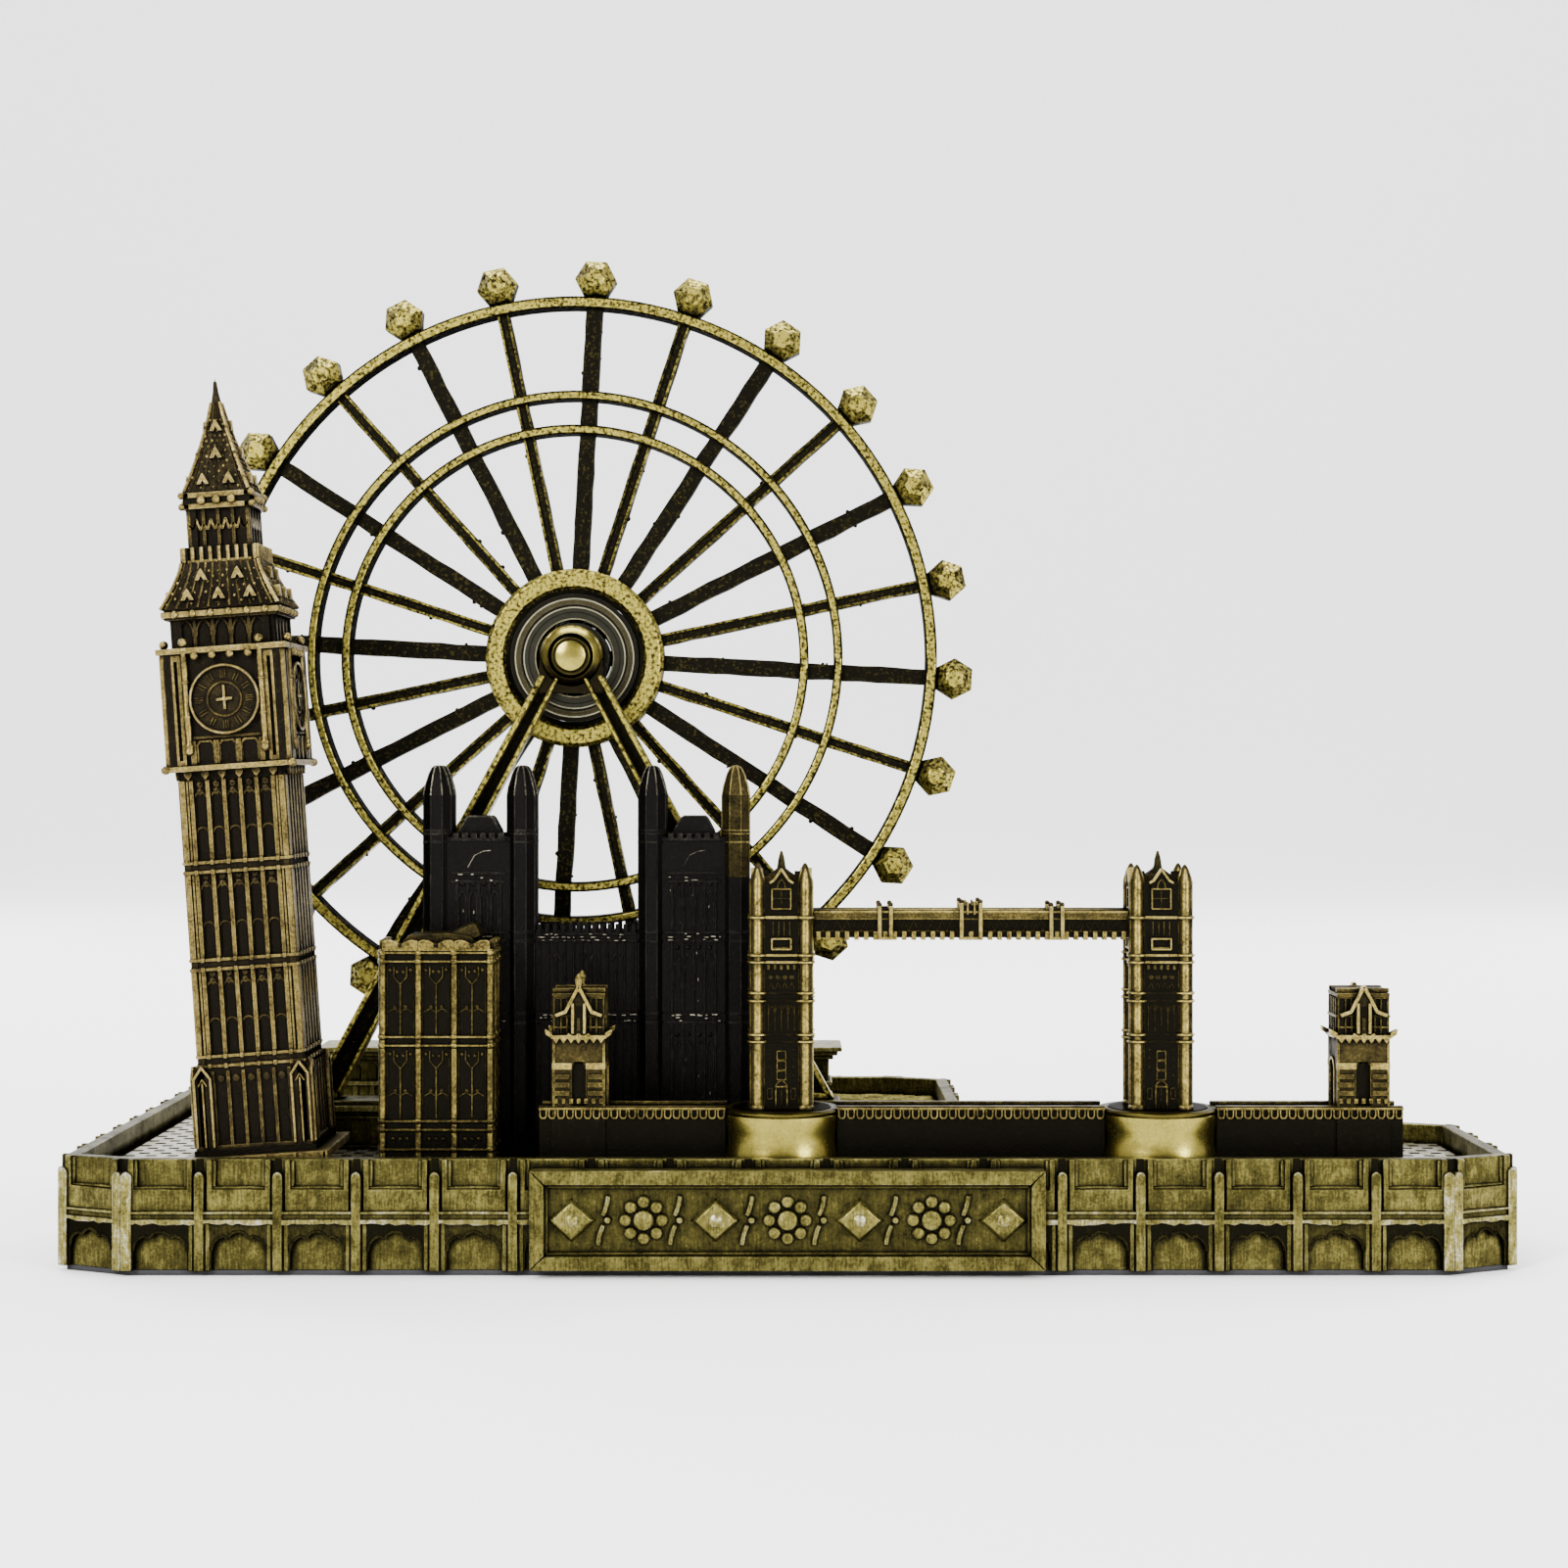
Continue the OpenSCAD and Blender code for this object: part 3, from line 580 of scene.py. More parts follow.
def make_plate(material):
    """The plaque: a sunk field inside a raised border with a narrow lip."""
    low, high = node_box("name_plate")
    wide, tall = (high.x - low.x) / 2, (high.z - low.z) / 2
    cast = Casting(Matrix.Translation(((low.x + high.x) / 2, 0, (low.z + high.z) / 2)))
    rear, field = high.y - 0.1, low.y + 0.85
    cast.slab(0.2 - wide, wide - 0.2, field, rear, 0.2 - tall, tall - 0.2, 0.42)
    x, z = wide - 1.65, tall - 1.65
    for (ax, az), (bx, bz) in closed([(-1, -1), (1, -1), (1, 1), (-1, 1)]):
        border = [(ax * wide, az * tall), (bx * wide, bz * tall), (bx * x, bz * z), (ax * x, az * z)]
        cast.cut(border, low.y, rear, 0.6)
    cast.bars(-x, x, low.y + 0.45, field + 0.1, (z - 0.2, 0.2 - z), 0.2, 0.5)
    cast.pair(x - 0.4, x, low.y + 0.45, field + 0.1, -z, z, 0.5)
    plate_ornament(cast, field)
    cast.made(["name_plate"], material, 0.12)


def plate_ornament(cast, field):
    """A generic band in place of lettering: lozenges and rosettes between pairs of wave scrolls."""
    pitch, proud = 8.1, field - 0.62
    for i, x in enumerate(spaced(7, pitch)):
        if i % 2 == 0:
            cast.cut([(x - 3.0, 0), (x, -2.7), (x + 3.0, 0), (x, 2.7)], proud, field + 0.1, 0.72, 0.72)
            cast.stud(x, proud + 0.1, 0, 0.75, 0.35, 0.85)
        else:
            cast.spindle((x, field, 0), (x, proud, 0), [(1.25, 0), (1.15, 0.8), (0.6, 1.1)], 0.75)
            petal = [(0.78, 0), (0.7, 0.75), (0.3, 1)]
            for px, pz in arc(x, 0, 2.05, 0, 315, 7):
                cast.spindle((px, field, pz), (px, proud + 0.1, pz), petal, 0.7, 10)
    for x in spaced(6, pitch):
        for side in SIDES:
            wave = [(x - 0.5 + 0.55 * math.sin(side * t * math.pi / 6), side * (0.6 + t * 0.7))
                    for t in range(4)]
            cast.strip(wave, 0.55, proud + 0.15, field + 0.1, 0.7)
        cast.stud(x, field, 0, 0.5, 0.5, 0.8)


# ---- observation wheel and its bearing

AXLE = node_middle("bearing_outer_ring")
AXLE_LINE = Matrix.Translation((AXLE.x, 0, AXLE.z))
RING_FRONT, RING_BACK = -1.9, 1.9
RINGS = ((45.3, 43.9), (33.5, 32.4), (29.25, 28.1))
HUB_R, HUB_BORE, HUB_FACE = 11.14, 8.02, 2.7
PODS, POD_CIRCLE, FIRST_POD = 24, 47.5, 86.9
POD_R = 2.25 / math.cos(math.radians(30))


def pod(cast):
    """A six-sided pod about the local y axis, with its sides worn unevenly."""
    layers = [(1.15, -2.5), (1.3, -2.35), (POD_R, -1.25), (POD_R, 1.25), (1.3, 2.35), (1.15, 2.5)]
    sides = [tone * CHANCE.uniform(0.55, 1.1) for tone in (0.72, 0.78, 0.3, 0.7, 0.65) for _ in range(6)]
    cast.loft([[(x, y, z) for x, z in arc(0, 0, r, 30, 330, 5)] for r, y in layers], [0.95, 0.95, *sides])


def spoke(cast, wide):
    """One spoke along the local x axis, flat and dark, or a channel with a worn ridge along each side."""
    start, end = HUB_R - 0.4, RINGS[0][1] + 0.4
    front, rear = RING_FRONT + 0.85, RING_BACK - 0.8
    half, pieces = 0.98 if wide else 0.76, 16
    lower, upper = [(start, -half)], [(start, half)]
    for i in range(1, pieces + 1):
        for edge, side in ((lower, -half), (upper, half)):
            edge.append((start + (end - start) * i / pieces, side * (1 + CHANCE.uniform(-0.07, 0.09))))
    cast.cut(lower + upper[::-1], front, rear, 0.1 if wide else 0.16)
    for z in () if wide else (-0.58, 0.58):
        cast.slab(start, end, front - 0.42, rear + 0.2, z - 0.15, z + 0.15, CHANCE.uniform(0.25, 0.6))
    for _ in range(3 if wide else 2):
        x, side = CHANCE.uniform(start + 2, end - 2), CHANCE.choice(SIDES)
        cast.ball(x, (front + rear) / 2, side * (half + 0.02), CHANCE.uniform(0.16, 0.34), 0.12, 8)


def make_wheel(material):
    centre = Matrix.Translation(AXLE)
    cast = Casting(centre)
    front, rear, soft = RING_FRONT, RING_BACK, 0.22
    for outer, inner in RINGS:
        section = [(outer, front + soft), (outer - soft, front), (inner + soft, front), (inner, front + soft),
                   (inner, rear - soft), (inner + soft, rear), (outer - soft, rear), (outer, rear - soft)]
        cast.ring(section, [0.2, 0.84, 0.15, 0.0, 0.15, 0.7, 0.2, 0.0])
    hub = [(HUB_R, 0.5 - HUB_FACE), (HUB_R - 0.5, -HUB_FACE), (9.0, -HUB_FACE), (8.55, 0.45 - HUB_FACE),
           (HUB_BORE, 0.6 - HUB_FACE), (HUB_BORE, HUB_FACE - 0.5), (8.6, HUB_FACE), (HUB_R - 0.5, HUB_FACE),
           (HUB_R, HUB_FACE - 0.5)]
    cast.ring(hub, [0.75, 0.92, 0.36, 0.12, 0.1, 0.4, 0.85, 0.6, 0.35])
    for i in range(PODS):
        cast.place = centre @ Matrix.Rotation(-math.radians(FIRST_POD + i * 360 / PODS), 4, "Y")
        spoke(cast, i % 2 == 0)
        cast.slab(45.0, 46.2, -1.3, 1.3, -0.8, 0.8, 0.4)
        cast.place = cast.place @ Matrix.Translation((POD_CIRCLE, 0, 0))
        pod(cast)
    cast.made(["wheel_casting"], material, 0.07, "wheel_relief", "wheel")


def make_bearing(material):
    """Grooves and worn bands on both faces of the ball bearing's outer ring and shields, with a painted
    highlight on the outer ring's chamfer and a black ring within the bearing as painted shade.
    """
    low, high = node_box("bearing_outer_ring")
    face = (high.y - low.y) / 2
    # The thin bright band at r 7.3 to 7.45 is a painted highlight, standing for the glint on the outer ring's
    # chamfer.
    bands = ((7.95, 7.5, 0.03, 0.02), (7.45, 7.3, 0.1, 0.85), (7.2, 6.75, 0.06, 0.36),
             (6.6, 6.4, -0.08, 0.02), (6.38, 6.24, -0.04, 0.85), (5.75, 5.65, -0.07, 0.1),
             (4.95, 4.82, -0.06, 0.6))
    cast = Casting(Matrix.Translation(AXLE))
    for side in SIDES:
        for outer, inner, proud, tone in bands:
            near, far = side * (face + proud), side * (face - 0.3)
            cast.ring([(outer, near), (inner, near), (inner, far), (outer, far)], [tone] * 4, 72)
    # Painted shade: a black ring behind the gap between shield and inner ring stands for the shade inside the
    # bearing and hides the see-through.
    cast.ring([(4.9, 2.05), (4.42, 2.05), (4.42, 2.35), (4.9, 2.35)], [0] * 4, 72)
    cast.made([], material, 0, "bearing_faces_relief", "wheel")


# ---- wheel frame, platform and boarding block

def make_frame(material):
    """Both legs: a sunk web with a bright rib along each edge and across the foot, and three faint bars."""
    low, high = node_box("frame_leg_right")
    front, top, foot = low.y, -2.4, low.z - AXLE.z
    cast = Casting(AXLE_LINE)

    def legs(outline, setback, tone):
        for side in SIDES:
            cast.cut([(side * x, z) for x, z in outline], front + setback, high.y, tone)

    legs([(3.9, top), (1.25, top), (28.65, foot), (32.3, foot)], 2.2, 0.1)
    legs([(3.9, top), (3.1, top), (31.5, foot), (32.3, foot)], 0, 0.85)
    legs([(1.85, top), (1.25, top), (28.65, foot), (29.25, foot)], 0, 0.8)
    legs([(32.0, foot + 0.8), (28.85, foot + 0.8), (28.65, foot), (32.3, foot)], 0, 0.85)
    for share in (0.3, 0.62, 0.86):
        x, z = 2.575 + 27.9 * share, top + (foot - top) * share
        legs([(x - 1.3, z), (x + 1.3, z - 0.2), (x + 1.2, z - 0.6), (x - 1.4, z - 0.4)], 1.5, 0.2)
    cast.made(["frame_leg_left", "frame_leg_right"], material, 0.16, "frame_legs_relief")


def make_boss(material):
    """The boss at the top of the frame, with painted shade that darkens it towards its underside."""
    low, high = node_box("frame_boss")
    radius = (high.x - low.x) / 2
    cast = Casting(AXLE_LINE)
    shell = [(radius - 0.45, low.y + 0.3), (radius, low.y + 1.1), (radius, high.y - 0.3),
             (radius - 0.3, high.y), (2.52, high.y), (2.52, low.y + 0.6), (2.8, low.y - 0.05),
             (radius - 1.1, low.y - 0.12)]
    cast.ring(shell, [0.7, 0.3, 0.1, 0.1, 0.1, 0.03, 0.5, 0.85], 64)
    # Painted shade: each face's tone is scaled by its height on the boss, dark underneath and bright on top.
    for k, face in enumerate(cast.faces):
        rise = sum(cast.points[i].z for i in face) / len(face) - AXLE.z
        cast.tones[k] *= 0.2 + 0.8 * min(1, max(0, rise / radius + 0.35))
    cast.slab(-radius, radius, low.y + 0.8, high.y - 0.1, -radius - 0.6, -0.5, 0.06)
    cast.made(["frame_boss"], material, 0)


def make_pin(material):
    """The axle pin with its domed head in front of the boss."""
    low, high = node_box("frame_boss")
    head = node_box("axle_pin")[0].y
    dome = [(1.95, 0), (1.95, 0.35), (1.8, 0.62), (1.35, 0.82), (0.7, 0.95), (0.02, 1)]
    cast = Casting(AXLE_LINE)
    cast.spindle((0, high.y + 7.5, 0), (0, low.y, 0), [(2.49, 0), (2.49, 0.985), (2.3, 1)], 0.3, 32)
    cast.spindle((0, low.y, 0), (0, head, 0), dome, 0.7, 32)
    cast.made(["axle_pin"], material, 0.05)


def make_platform(material):
    cast = Casting()
    low, high = node_box("wheel_platform")
    courses = ((0.55, 0.55, DECK_TOP, high.z, 0.5), (0.2, 0.25, DECK_TOP, DECK_TOP + 0.7, 0.55),
               (0, 0, high.z - 1.25, high.z - 0.55, 0.7), (0.3, 0.3, high.z - 2.1, high.z - 1.8, 0.55))
    for inset, in_front, z0, z1, tone in courses:
        cast.slab(low.x + inset, high.x - inset, low.y + in_front, high.y, z0, z1, tone)
    panels = cells(low.x + 0.55, high.x - 0.55, 22)
    cast.row(panels, 2.4, low.y + 0.4, low.y + 0.8, DECK_TOP + 1.0, high.z - 2.4, 0.42)
    cast.made(["wheel_platform"], material, 0.1)


def make_boarding_block(material):
    """A block with stepped top courses and a row of ridges and arches on its front and back."""
    cast = Casting()
    low, high = node_box("boarding_block")
    step = 0.55

    def course(inset, z0, z1, tone):
        cast.slab(low.x + inset, high.x - inset, low.y + inset, high.y - inset, z0, z1, tone)

    for i in range(4):
        z0, z1 = high.z - (4 - i) * step, high.z - (3 - i) * step
        course((3 - i) * step, z0 if i else DECK_TOP, z1, 0.5 + 0.08 * i)
    wall = 3 * step
    course(wall - 0.4, 16.8, 17.35, 0.7)
    course(wall - 0.4, DECK_TOP, DECK_TOP + 1.0, 0.6)
    for y in (low.y + wall, high.y - wall):
        places = cells(low.x + wall, high.x - wall, 30)
        cast.row(places, 0.7, y - 0.22, y + 0.22, DECK_TOP + 1.0, 16.9, 0.6)
        for x in places:
            cast.cut(shifted(round_arch(0.62, 17.6, 18.9, 4), x), y - 0.2, y + 0.2, 0.3)
    cast.made(["boarding_block"], material, 0.1)


# ---- clock tower

SHAFT_FOOT, SHAFT_TOP, CLOCK_STAGE_TOP, BELFRY_TOP = 12.9, 46.9, 60.5, 64.4
ROOF_FOOT, ROOF_TOP, BALUSTRADE_TOP, LANTERN_TOP = 65.5, 70.8, 72.6, 77.2
SPIRE_FOOT, SPIRE_TOP = 79.1, 92.2
STRINGS = (25.0, 36.2)
SHAFT_PITCH, CLOCK_FLANGE = 1.888, 8.3


def clock_place(turn=0):
    """The clock tower's own leaning frame, with one of its four walls turned to the front."""
    lean = Matrix.Rotation(math.radians(-3.9), 4, "Y")
    return Matrix.Translation((-60.8, back(12), DECK_TOP)) @ lean @ turned_place(0, 0, turn)


def each_wall(cast, draw):
    """Draws the same wall on all four sides of the clock tower."""
    for turn in QUARTERS:
        cast.place = clock_place(turn)
        draw(cast)
    cast.place = clock_place()


def beaded_string(cast, z, face):
    """A thin string course with a bead at each mullion."""
    cast.slab(-6.25, 6.25, face - 0.2, face + 0.5, z - 0.17, z + 0.17, 0.72)
    cast.row(spaced(6, SHAFT_PITCH), 0.4, face - 0.34, face, z - 0.27, z + 0.27, 0.72)


def storey(cast, z0, z1, face):
    """One storey of the shaft: five bays, each with tracery over two round-headed windows."""
    half, height, panel = SHAFT_PITCH * 2.5, z1 - z0, face + 0.42
    cast.slab(-half - 0.4, half + 0.4, panel, panel + 0.8, z0, z1, 0.13)
    cast.row(spaced(6, SHAFT_PITCH), 0.48, face - 0.12, panel + 0.1, z0, z1, 0.66)
    low, high = z0 + height * 0.08, z0 + height * 0.44
    for x in spaced(5, SHAFT_PITCH):
        for foot, spring in ((low, high - 0.62), (high + height * 0.07, high + height * 0.36)):
            head = round_arch(0.48, foot, spring, 5)
            cast.cut(shifted(head, x), panel - 0.03, panel + 0.1, 0)
            cast.strip([(x + px * 1.28, pz) for px, pz in head[1:-1]], 0.2, panel - 0.3, panel + 0.05, 0.42)
        rosette = [(0.46, 0), (0.44, 0.8), (0.3, 1)]
        for z in (z1 - height * 0.055, z1 - height * 0.145):
            cast.spindle((x, panel + 0.1, z), (x, panel - 0.26, z), rosette, 0.4, 10)
            cast.stud(x, panel - 0.2, z, 0.15, 0.14, 0, 6)
    for offset, width, out in ((0.46, 0.24, -0.1), (0.92, 0.24, -0.16), (1.36, 0.26, 0)):
        cast.row((-half - offset, half + offset), width, face + out, panel + 0.2, z0, z1, 0.7)


def foot_stage(cast):
    """A row of blocks along the flange, and above it five bays of windows between pointed corner panels."""
    cast.row(spaced(5, 3.4, -0.1), 3.1, -CLOCK_FLANGE - 0.15, -CLOCK_FLANGE + 0.4, 1.6, 2.5, 0.75)
    face, z0, z1 = -6.5, 3.6, SHAFT_FOOT - 0.4
    cast.slab(-6.75, 6.75, face + 0.3, face + 1.2, 0.5, z1, 0.16)
    cast.row(spaced(6, 1.76), 0.4, face - 0.05, face + 0.4, z0, z1 - 0.3, 0.5)
    for x in spaced(5, 1.76):
        for foot, spring in ((z0 + 0.6, z0 + 2.4), (z0 + 3.7, z0 + 5.1)):
            cast.cut(shifted(pointed(0.5, foot, spring, spring + 0.9, 4), x), face + 0.26, face + 0.4, 0)
        z = z1 - 1.2
        cast.spindle((x, face + 0.4, z), (x, face + 0.05, z), [(0.5, 0), (0.45, 0.8), (0.3, 1)], 0.35, 10)
    peak, rear = z1 + 0.4, face - 0.2
    panel = [(-1.05, z0), (1.05, z0), (1.05, peak - 1.5), (0, peak), (-1.05, peak - 1.5)]
    rim = [(-0.95, z0), (-0.95, peak - 1.5), (0, peak - 0.15), (0.95, peak - 1.5), (0.95, z0)]
    for x in (-5.6, 5.6):
        cast.cut(shifted(panel, x), face - 0.25, face + 0.7, 0.25)
        cast.strip(shifted(rim, x), 0.28, face - 0.55, rear, 0.85)
        cast.strip([(x, z0), (x, peak - 2.0)], 0.22, face - 0.45, rear, 0.7)
        point = [(x - 0.5, peak - 2.3), (x, peak - 1.5), (x + 0.5, peak - 2.3)]
        cast.strip(point, 0.18, face - 0.45, rear, 0.6)
    cast.slab(-6.8, 6.8, face - 0.1, face + 0.5, z0 - 0.5, z0 + 0.1, 0.5)


def clock_stage(cast):
    """The wall round a dial: framed corner slots, two columns, a sunk square and the openings below."""
    face, z0, z1 = -7.2, SHAFT_TOP, CLOCK_STAGE_TOP
    rear = face + 0.6
    cast.slab(-7.2, 7.2, face + 0.5, face + 1.4, z0, z1, 0.15)
    cast.row((-6.95, -5.75, -4.95, 4.95, 5.75, 6.95), 0.42, face, rear, z0 + 0.6, z1 - 0.7, 0.75)
    cast.pair(4.8, 7.15, face + 0.02, rear, z1 - 1.1, z1 - 0.4, 0.7)
    cast.pair(4.8, 7.15, face + 0.02, rear, z0 + 0.5, z0 + 1.1, 0.7)
    column = [(0.5, 0), (0.55, 0.03), (0.36, 0.06), (0.4, 0.3), (0.52, 0.32), (0.4, 0.34), (0.36, 0.64),
              (0.52, 0.66), (0.36, 0.68), (0.36, 0.94), (0.55, 0.97), (0.5, 1)]
    for x in (-4.35, 4.35):
        cast.spindle((x, face + 0.1, z0 + 2.4), (x, face + 0.1, z1 + 0.4), column, 0.85)
        cast.ball(x, face + 0.05, z0 + 2.2, 0.55, 0.85)
        cast.ball(x, face + 0.05, z1 + 1.0, 0.55, 0.9)
    cast.slab(-7.45, 7.45, face - 0.3, rear, z1 - 0.25, z1 + 0.4, 0.85)
    cast.beads(spaced(4, 2.06, -0.01), face - 0.15, z1 - 0.55, 0.5, 0.85, 10)
    cast.slab(-3.9, 3.9, face + 0.12, rear, z0 + 3.5, z0 + 3.8, 0.45)
    cast.slab(-7.5, 7.5, face - 0.25, rear, z0 - 0.15, z0 + 0.45, 0.9)
    cast.beads((-7.3, 7.3), face, z0 + 0.15, 0.5, 0.85, 10)
    cast.row(spaced(3, 2.55), 1.7, face + 0.44, rear, z0 + 0.9, z0 + 3.1, 0)
    opening = mirrored([(-0.95, z0 + 0.8), (-0.95, z0 + 2.8), (-0.6, z0 + 3.2)])
    for x in spaced(3, 2.55):
        cast.strip(shifted(opening, x), 0.24, face + 0.2, face + 0.55, 0.6)
    cast.row((-3.95, -1.28, 1.28, 3.95), 0.62, face + 0.05, rear, z0 + 0.6, z0 + 3.3, 0.65)


def belfry(cast):
    face, z0, z1 = -6.0, CLOCK_STAGE_TOP + 0.2, BELFRY_TOP
    cast.slab(-6, 6, face + 0.5, face + 1.4, z0, z1, 0.14)
    cast.row(spaced(6, 2.08), 0.4, face + 0.1, face + 0.6, z0, z1, 0.4)
    for x in spaced(5, 2.08):
        cast.cut(shifted(pointed(0.6, z0 + 0.2, z0 + 1.9, z0 + 3.0, 4), x), face + 0.42, face + 0.6, 0)
        hood = shifted(pointed(0.82, z0 + 1.6, z0 + 2.0, z0 + 3.5, 4), x)
        cast.strip(hood, 0.22, face + 0.12, face + 0.5, 0.35)
    cast.slab(-6.7, 6.7, face - 0.75, face + 0.6, z1 + 0.1, z1 + 0.75, 0.85)
    cast.slab(-6.4, 6.4, face - 0.45, face + 0.6, z1 - 0.2, z1 + 1.0, 0.4)
    cast.beads(spaced(6, 2.08), face - 0.6, z1 + 0.42, 0.48, 0.9, 10)


def shaft_wall(cast):
    foot_stage(cast)
    face = -6.1
    storey(cast, SHAFT_FOOT + 1.1, STRINGS[0] - 1.0, face)
    storey(cast, STRINGS[0], STRINGS[1] - 1.0, face + 0.04)
    storey(cast, STRINGS[1], SHAFT_TOP - 1.2, face + 0.08)
    for z in (SHAFT_FOOT + 1.0, *STRINGS):
        cast.slab(-6.15, 6.15, face + 0.12, face + 0.8, z - 1.2, z + 0.1, 0.3)
        beaded_string(cast, z - 1.1, face)
        beaded_string(cast, z, face)
    cast.slab(-6.1, 6.1, face + 0.3, face + 0.8, SHAFT_TOP - 1.3, SHAFT_TOP, 0.1)
    corbel = [(-0.42, SHAFT_TOP), (0.42, SHAFT_TOP), (0.42, SHAFT_TOP - 0.6), (0, SHAFT_TOP - 1.2),
              (-0.42, SHAFT_TOP - 0.6)]
    for x in spaced(6, 1.96):
        cast.cut(shifted(corbel, x), face - 0.5, face + 0.6, 0.75)
    clock_stage(cast)
    belfry(cast)


def roof_width(z):
    """Width of the flared roof at a height."""
    return 8.9 + 4.6 * ((ROOF_TOP - z) / (ROOF_TOP - ROOF_FOOT)) ** 1.35


def spire_width(z):
    return 0.35 + 7.15 * ((SPIRE_TOP - z) / (SPIRE_TOP - SPIRE_FOOT)) ** 1.45


def slope_ribs(cast, width_at, z0, z1, count, tone):
    """Upright ribs and a hip on a curved roof slope."""
    heights = [z0 + (z1 - z0) * k / 6 for k in range(7)]
    for a, b in zip(heights, heights[1:]):
        wa, wb = width_at(a), width_at(b)
        for share in cells(-0.5, 0.5, count):
            cast.rod((share * wa, 0.05 - wa / 2, a), (share * wb, 0.05 - wb / 2, b), 0.17, tone, 5)
        cast.rod((wa / 2, -wa / 2, a), (wb / 2, -wb / 2, b), 0.24, 0.8, 6)


def scales(cast, width_at, z0, z1, count):
    """Rows of small worn lumps between the ribs of a roof slope."""
    pitch = 0.62
    for row in range(int((z1 - z0) / pitch)):
        z = z0 + row * pitch
        for i in range(count):
            x = ((i + 0.5 * (row % 2) + 0.3) / count - 0.5) * width_at(z)
            cast.ball(x, -width_at(z) / 2, z, CHANCE.uniform(0.12, 0.24), CHANCE.uniform(0.4, 0.95), 6)


def lucarnes(cast, width_at, z, places, size):
    """Little gables with a dark opening on a roof slope."""
    gable = ((-1, 0), (-0.35, 0), (0, 0.7), (0.35, 0), (1, 0), (0.25, 1.5), (0, 1.8), (-0.25, 1.5))
    y = -width_at(z) / 2
    for x in places:
        cast.cut([(x + across * size, z + up * size) for across, up in gable], y - size * 0.55, y + 1.1, 0.9)
        opening = [(x - size * 0.4, z - size * 0.3), (x + size * 0.4, z - size * 0.3), (x, z + size)]
        cast.cut(opening, y - 0.1, y + 0.8, 0)


def roof_wall(cast):
    slope_ribs(cast, roof_width, ROOF_FOOT, ROOF_TOP, 11, 0.5)
    scales(cast, roof_width, ROOF_FOOT + 0.5, ROOF_TOP, 9)
    lucarnes(cast, roof_width, ROOF_FOOT + 0.9, (-3.6, 0, 3.6), 0.75)
    lucarnes(cast, roof_width, ROOF_FOOT + 3.2, (-2.1, 2.1), 0.75)
    cast.slab(-4.45, 4.45, -4.45, -3.85, ROOF_TOP, ROOF_TOP + 0.3, 0.7)
    cast.slab(-4.45, 4.45, -4.15, -3.65, ROOF_TOP, BALUSTRADE_TOP, 0.05)
    for x in spaced(9, 1.025):
        cast.rod((x, -4.35, ROOF_TOP + 0.1), (x, -4.35, BALUSTRADE_TOP), 0.27, 0.85, 8)

    face, foot, head = -3.7, BALUSTRADE_TOP, LANTERN_TOP
    cast.slab(-3.7, 3.7, face + 0.45, face + 1.2, foot, head, 0.14)
    cast.row((-3.4, 3.4), 0.36, face, face + 0.5, foot, head, 0.55)
    cast.row(spaced(3, 1.7), 0.36, face, face + 0.5, foot, head, 0.45)
    arch = mirrored([(-0.85, foot + 2.6), (-0.4, foot + 2.1), (0, foot + 3.2)])
    for x in spaced(4, 1.7):
        cast.cut(shifted(pointed(0.5, foot + 0.2, foot + 2.0, foot + 2.9, 4), x), face + 0.38, face + 0.5, 0)
        cast.strip(shifted(arch, x), 0.26, face, face + 0.45, 0.75)
    for z in (head + 0.15, head + 1.45):
        cast.slab(-4.1, 4.1, -4.1, -3.2, z - 0.28, z + 0.28, 0.85)
        cast.ball(4.05, -4.05, z, 0.42, 0.8, 8)
    cast.slab(-3.9, 3.9, -3.8, -3.0, head, SPIRE_FOOT, 0.08)
    cast.beads(spaced(3, 1.75), -4.0, head + 0.8, 0.58, 0.85, 8)

    slope_ribs(cast, spire_width, SPIRE_FOOT, SPIRE_TOP - 2.5, 5, 0.3)
    scales(cast, spire_width, SPIRE_FOOT + 0.4, SPIRE_TOP - 4, 5)
    for up, places in ((0.8, (-1.5, 1.5)), (3.9, (0,)), (7.2, (0,))):
        lucarnes(cast, spire_width, SPIRE_FOOT + up, places, 0.72)
    for z in (SPIRE_FOOT + 1.4, SPIRE_FOOT + 4.4, SPIRE_FOOT + 7.6):
        half = spire_width(z) / 2
        cast.ball(half, -half, z, 0.34, 0.5, 6)


def make_clock_tower(material):
    cast = Casting(clock_place())
    cast.frustum(0.6, SHAFT_FOOT, 12.2, 12.2, 0.1)
    cast.frustum(SHAFT_FOOT, SHAFT_TOP, 11.4, 11.0, 0.1)
    cast.frustum(SHAFT_TOP, CLOCK_STAGE_TOP, 13.2, 13.2, 0.1)
    cast.frustum(CLOCK_STAGE_TOP, BELFRY_TOP + 1.0, 10.9, 10.9, 0.1)
    cast.frustum(1.5, 2.55, 2 * CLOCK_FLANGE, 2 * CLOCK_FLANGE, 0.7)
    cast.frustum(0.55, 3.2, 14, 14, 0.12)
    each_wall(cast, shaft_wall)
    cast.made(["clock_tower"], material, 0.06)

    cast = Casting(clock_place())
    cast.frustum(BELFRY_TOP + 1.0, ROOF_TOP, 13.5, 8.9, 0.18, 8, 1.35)
    cast.frustum(ROOF_TOP, LANTERN_TOP, 6.6, 6.6, 0.1)
    cast.frustum(LANTERN_TOP, SPIRE_FOOT, 7.2, 7.2, 0.1)
    cast.frustum(SPIRE_FOOT, SPIRE_TOP, 7.5, 0.35, 0.25, 10, 1.45)
    each_wall(cast, roof_wall)
    finial = ((0.3, -3.2), (0.34, -1.5), (0.2, -0.5), (0.02, 0.4))
    cast.turned(0, 0, [(r, SPIRE_TOP + up) for r, up in finial], 0.75, 10)
    cast.made(["clock_spire"], material, 0.05)


